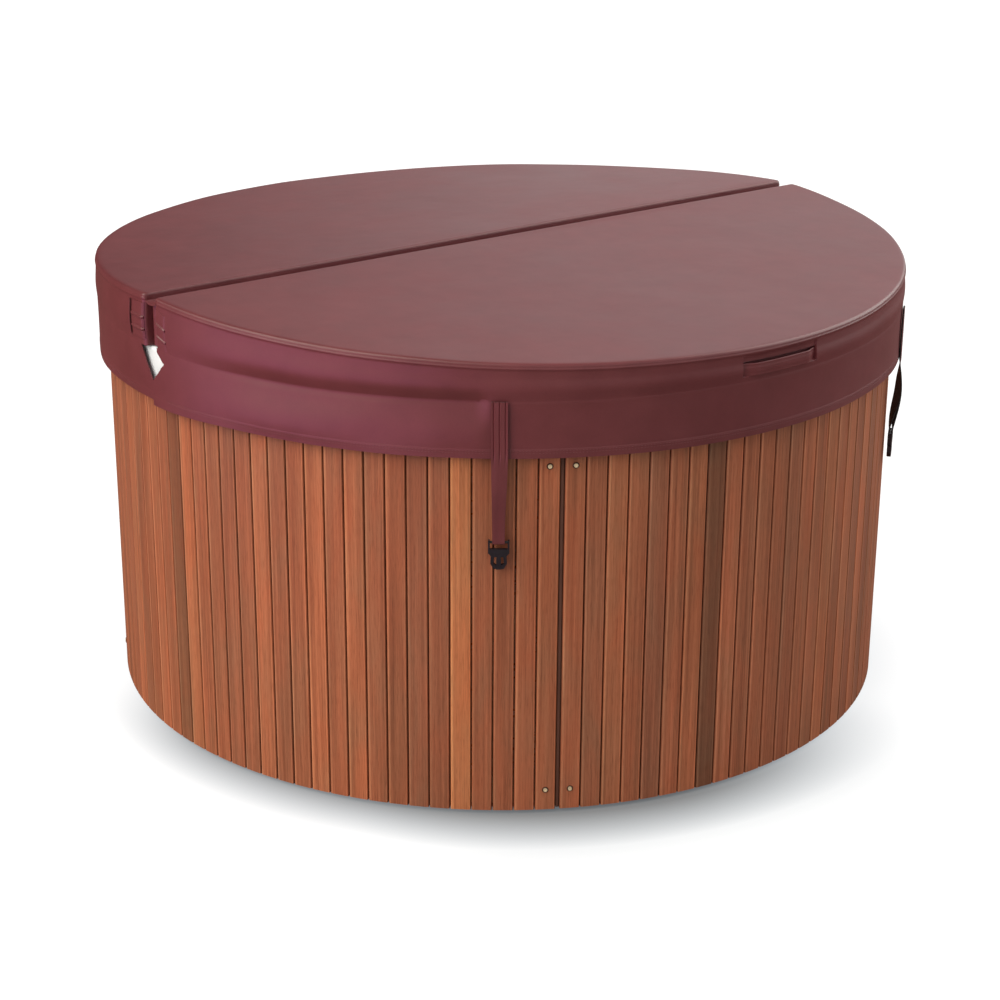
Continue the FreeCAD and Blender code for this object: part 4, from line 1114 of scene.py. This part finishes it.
def tieStrap(name, turn, twist):
    look = strapLook
    radius, barX, barHigh = cover["radius"], cover["radius"] - look["barIn"], look["barHigh"]

    def layer(z, high, low):  # distance out at a height, from the skirt's to the bar's
        share = ramp01(look["split"] - z, 0.0, look["split"] - barHigh)
        return radius + high + (barX + low - radius - high) * share

    down, up, over = look["steps"]
    points = []
    for i in range(down + 1):
        z = look["head"] + (barHigh - look["head"]) * i / down
        points.append((layer(z, look["outer"], look["loop"]), 0, z))
    for angle in look["loopTurns"]:
        lean = math.radians(angle)
        points.append((barX + look["loop"] * math.cos(lean), 0, barHigh + look["loop"] * math.sin(lean)))
    for i in range(up + 1):
        z = barHigh + (look["tail"] - barHigh) * i / up
        points.append((layer(z, look["inner"], -look["loop"]), 0, z))
    obj = drawLine(name, points)
    reshape(obj, lambda p: p + Vector((0, -1, 0)))
    pullOut(obj, (0, 2 / over, 0), over)
    obj.data.materials.append(vinyl)
    obj.data.materials.append(webbing)
    for face in obj.data.polygons:  # the layer that runs back up is webbing
        face.material_index = 1 if face.center.x < layer(face.center.z, look["between"], 0) else 0

    def rule(p):
        wider = ramp01(p.z, barHigh, look["wideAt"])
        wide = look["wideFoot"] + (look["wideTop"] - look["wideFoot"]) * wider
        x = p.x
        if p.x > radius + look["between"] and p.z > look["sewn"]:  # three sewn lines pull the band down
            x -= look["sewnDepth"] if min(abs(abs(p.y) - 0.7), abs(p.y)) < 0.04 else 0
        x += look["stray"][0] * wave(p.z * 14.0, p.y * 1.2, turn)
        aside = look["stray"][1] * wave(p.z * 7.0, turn, 1.0) * ramp01(0.88 - p.z, 0.0, 0.1)
        # between hem and buckle the band turns on itself
        share = min(1.0, max(0.0, (look["sewn"] - p.z) / (look["sewn"] - barHigh)))
        lean = twist * math.sin(math.pi * share)
        y = p.y * wide
        return Vector((x - y * math.sin(lean), y * math.cos(lean) + aside, p.z))

    reshape(obj, rule)
    outward(obj)
    applied(obj, "SOLIDIFY", thickness=look["thick"], offset=-1, material_offset=1, material_offset_rim=1)
    turned(obj, math.radians(turn))
    return finished(obj, 40)


for place, (turn, twist) in strapLook["places"].items():
    tie = tieStrap("strap_" + place + "_band", turn, twist)
    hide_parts("strap_" + place)
    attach(tie, "tie_" + place)
print("straps made")


# Seam strips: a weather seal set back in the gap between cabinet panels, its dark brown partly the seal's
# own colour and partly painted shade of the gap

sealLook = dict(half=0.0034, inner=0.8745, outer=0.8848, low=0.010, high=0.836, round=0.0012)
seamTurns = [boardLook["seamAt"] + boardLook["panelTurn"] * i for i in range(4)]
for number, turn in enumerate(seamTurns, 1):
    deselectAll()
    bpy.ops.mesh.primitive_cube_add(size=2)
    seal = bpy.context.object
    seal.name = "panel_seal_" + str(number)
    deep = (sealLook["outer"] - sealLook["inner"]) / 2
    tall = (sealLook["high"] - sealLook["low"]) / 2
    bpy.ops.object.mode_set(mode="EDIT")
    bpy.ops.transform.resize(value=(deep, sealLook["half"], tall))
    bpy.ops.mesh.bevel(offset=sealLook["round"], segments=2, affect="EDGES")
    bpy.ops.transform.translate(value=(sealLook["inner"] + deep, 0, sealLook["low"] + tall))
    closeEdit()
    turned(seal, math.radians(turn))
    finished(seal, 40, sealRubber)
    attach(seal, "tub")
print("seals made")


# Screw cups: a turned ring round each cabinet screw, near-black as painted shade of the countersink

cupLook = dict(ring=0.0055, wire=0.0012, out=0.8882, aside=1.65, heights=(0.053, 0.755))
deselectAll()
bpy.ops.mesh.primitive_torus_add(
    major_radius=cupLook["ring"], minor_radius=cupLook["wire"], major_segments=28, minor_segments=8
)
cup = bpy.context.object
cup.data.transform(Matrix.Translation((cupLook["out"], 0, 0)) @ Matrix.Rotation(math.pi / 2, 4, "Y"))
cups = []
for turn in seamTurns:
    for lean in (-1, 1):
        for height in cupLook["heights"]:
            one = cup.copy()
            one.data = cup.data.copy()
            bpy.context.scene.collection.objects.link(one)
            one.data.transform(Matrix.Translation((0, 0, height)))
            turned(one, math.radians(turn + lean * cupLook["aside"]))
            cups.append(one)
bpy.data.objects.remove(cup)
cups = finished(joined("screw_cups", cups), 60, cupBronze)
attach(cups, "tub")
print("screw cups made")


# Stage: white floor and room, soft light from the left front

floorLook = dict(
    size=60,
    bounce=[(0.3, (0.45, 0.45, 0.45)), (0.7, (0.47, 0.47, 0.47))],
    mirrored=(0.14, 0.06, 0.05),  # dull and warm where it is mirrored
    seen=(0.12, 0.12, 0.12),
    shades=[  # painted contact shadows: centre, near, far, depth, and its side: turn, from and to, values there
        ((0.004, -0.036, 0), 0.868, 1.012, 0.76, (-138, 0.40, 0.85, 0.20, 1.0)),  # round the foot
        ((0, 0, 0), 0.890, 1.190, 0.42, (-102, 0.70, 0.98, 0.0, 1.0)),  # wider, at the front right
    ],
    shadeTint=(0.83, 0.92, 1.0),
    gleamReach=(2.2, 3.2),  # a painted mauve gleam on the far floor at left, mirrored in the cover alone
    gleamSide=(184, 0.72, 0.94, 0.0, 2.4),
    gleamTint=(1.0, 0.38, 0.82),
)


def wayTo(turn, rise=0):
    flat = math.cos(math.radians(rise))
    east, north = math.cos(math.radians(turn)) * flat, math.sin(math.radians(turn)) * flat
    return Vector((east, north, math.sin(math.radians(rise))))


def floorFinish():
    look = floorLook
    finish, tree, shader = newFinish("floorPaper")
    rays = put(tree, "ShaderNodeLightPath").outputs
    spot = objectSpot(tree)
    flatSpot = measured(tree, "MULTIPLY", spot, (1, 1, 0))
    flatWay = measured(tree, "NORMALIZE", flatSpot)

    def towardTurn(turn, *reach):  # a value that grows toward one side of the floor
        return ranged(tree, measured(tree, "DOT_PRODUCT", flatWay, wayTo(turn)), *reach, way="SMOOTHSTEP")

    bounce = tones(tree, grains(tree, spot, 0.7, 2.0), *look["bounce"])
    bounce = tinted(tree, bounce, look["mirrored"], rays["Is Glossy Ray"], "MIX")
    bounce = tinted(tree, bounce, look["seen"], rays["Is Camera Ray"], "MIX")
    tree.links.new(bounce, shader.inputs["Base Color"])
    shader.inputs["Roughness"].default_value = 0.9
    shader.inputs["Specular IOR Level"].default_value = 0.1
    lit = 1.0
    # painted contact shadows darken the floor's glow round the tub's foot
    for centre, near, far, depth, side in look["shades"]:
        shade = ranged(tree, measured(tree, "DISTANCE", flatSpot, centre), near, far, depth, 0.0)
        shade = times(tree, shade, towardTurn(*side))
        lit = times(tree, lit, calc(tree, "SUBTRACT", 1.0, shade))
    gleam = ranged(tree, measured(tree, "DISTANCE", flatSpot, (0, 0, 0)), *look["gleamReach"])
    gleam = times(tree, gleam, towardTurn(*look["gleamSide"]))
    gleam = times(tree, gleam, rays["Is Glossy Ray"])
    tint = tinted(tree, look["shadeTint"], (1, 1, 1), lit, "MIX")
    tint = tinted(tree, tint, look["gleamTint"], rays["Is Glossy Ray"], "MIX")
    tree.links.new(tint, shader.inputs["Emission Color"])
    lift = calc(tree, "ADD", times(tree, rays["Is Camera Ray"], lit), gleam)
    tree.links.new(lift, shader.inputs["Emission Strength"])
    return finish


deselectAll()
bpy.ops.mesh.primitive_plane_add(size=floorLook["size"], location=(0, 0, 0))
floor = bpy.context.object
floor.name = "floor"
floor.data.materials.append(floorFinish())

# the room is white to the eye, dimmer as light, and its sheen grows from left to right
roomLook = dict(
    rightTurn=-38,
    sheen=(-0.2, 0.03, 0.05, 0.92),
    overhead=(0.45, 0.8, 1.0, 0.3),
    plain=(-0.8, 0.8, 0.14, 0.41),
)
room = bpy.data.worlds.new("room")
bpy.context.scene.world = room
room.use_nodes = True
roomTree = room.node_tree
rays = put(roomTree, "ShaderNodeLightPath").outputs
heading = put(roomTree, "ShaderNodeTexCoord").outputs["Generated"]
across = measured(roomTree, "DOT_PRODUCT", heading, wayTo(roomLook["rightTurn"]))
upward = put(roomTree, "ShaderNodeSeparateXYZ", {0: heading}).outputs["Z"]
sheen = ranged(roomTree, across, *roomLook["sheen"])
sheen = times(roomTree, sheen, ranged(roomTree, upward, *roomLook["overhead"]))
glossy = times(roomTree, rays["Is Glossy Ray"], sheen)
plain = ranged(roomTree, across, *roomLook["plain"])
plain = times(roomTree, calc(roomTree, "SUBTRACT", 1.0, rays["Is Glossy Ray"]), plain)
glow = calc(roomTree, "MAXIMUM", rays["Is Camera Ray"], calc(roomTree, "ADD", glossy, plain))
backdrop = roomTree.nodes["Background"]
backdrop.inputs["Color"].default_value = (1, 1, 1, 1)
roomTree.links.new(glow, backdrop.inputs["Strength"])

lamps = dict(  # turn, rise, energy, spread, colour
    window=(-189, 40, 4.1, 66, (1.0, 0.945, 0.85)),
    fill=(-8, 30, 2.3, 60, (0.985, 1.0, 0.94)),
)
for name, (turn, rise, energy, spreadAngle, colour) in lamps.items():
    lamp = bpy.data.lights.new(name, "SUN")
    lamp.color = colour
    lamp.energy = energy
    lamp.angle = math.radians(spreadAngle)
    light = bpy.data.objects.new(name, lamp)
    bpy.context.scene.collection.objects.link(light)
    light.matrix_world = wayTo(turn, rise).to_track_quat("Z", "Y").to_matrix().to_4x4()

eyeLook = dict(lens=79.65, shift=0.001, turn=-38, away=4.914, high=2.1905, tilt=69.52, roll=0.37)
lens = bpy.data.cameras.new("photoCamera")
lens.lens = eyeLook["lens"]
lens.shift_x = eyeLook["shift"]
lens.sensor_width = 36
lens.dof.use_dof = False
eye = bpy.data.objects.new("photoCamera", lens)
bpy.context.scene.collection.objects.link(eye)
eyeTurn, away = math.radians(eyeLook["turn"]), eyeLook["away"]
eye.matrix_world = (
    Matrix.Translation((math.sin(eyeTurn) * away, -math.cos(eyeTurn) * away, eyeLook["high"]))
    @ Matrix.Rotation(eyeTurn, 4, "Z")
    @ Matrix.Rotation(math.radians(eyeLook["tilt"]), 4, "X")
    @ Matrix.Rotation(math.radians(eyeLook["roll"]), 4, "Z")
)
bpy.context.scene.camera = eye
bpy.context.scene.view_settings.view_transform = "Standard"
print("stage set")
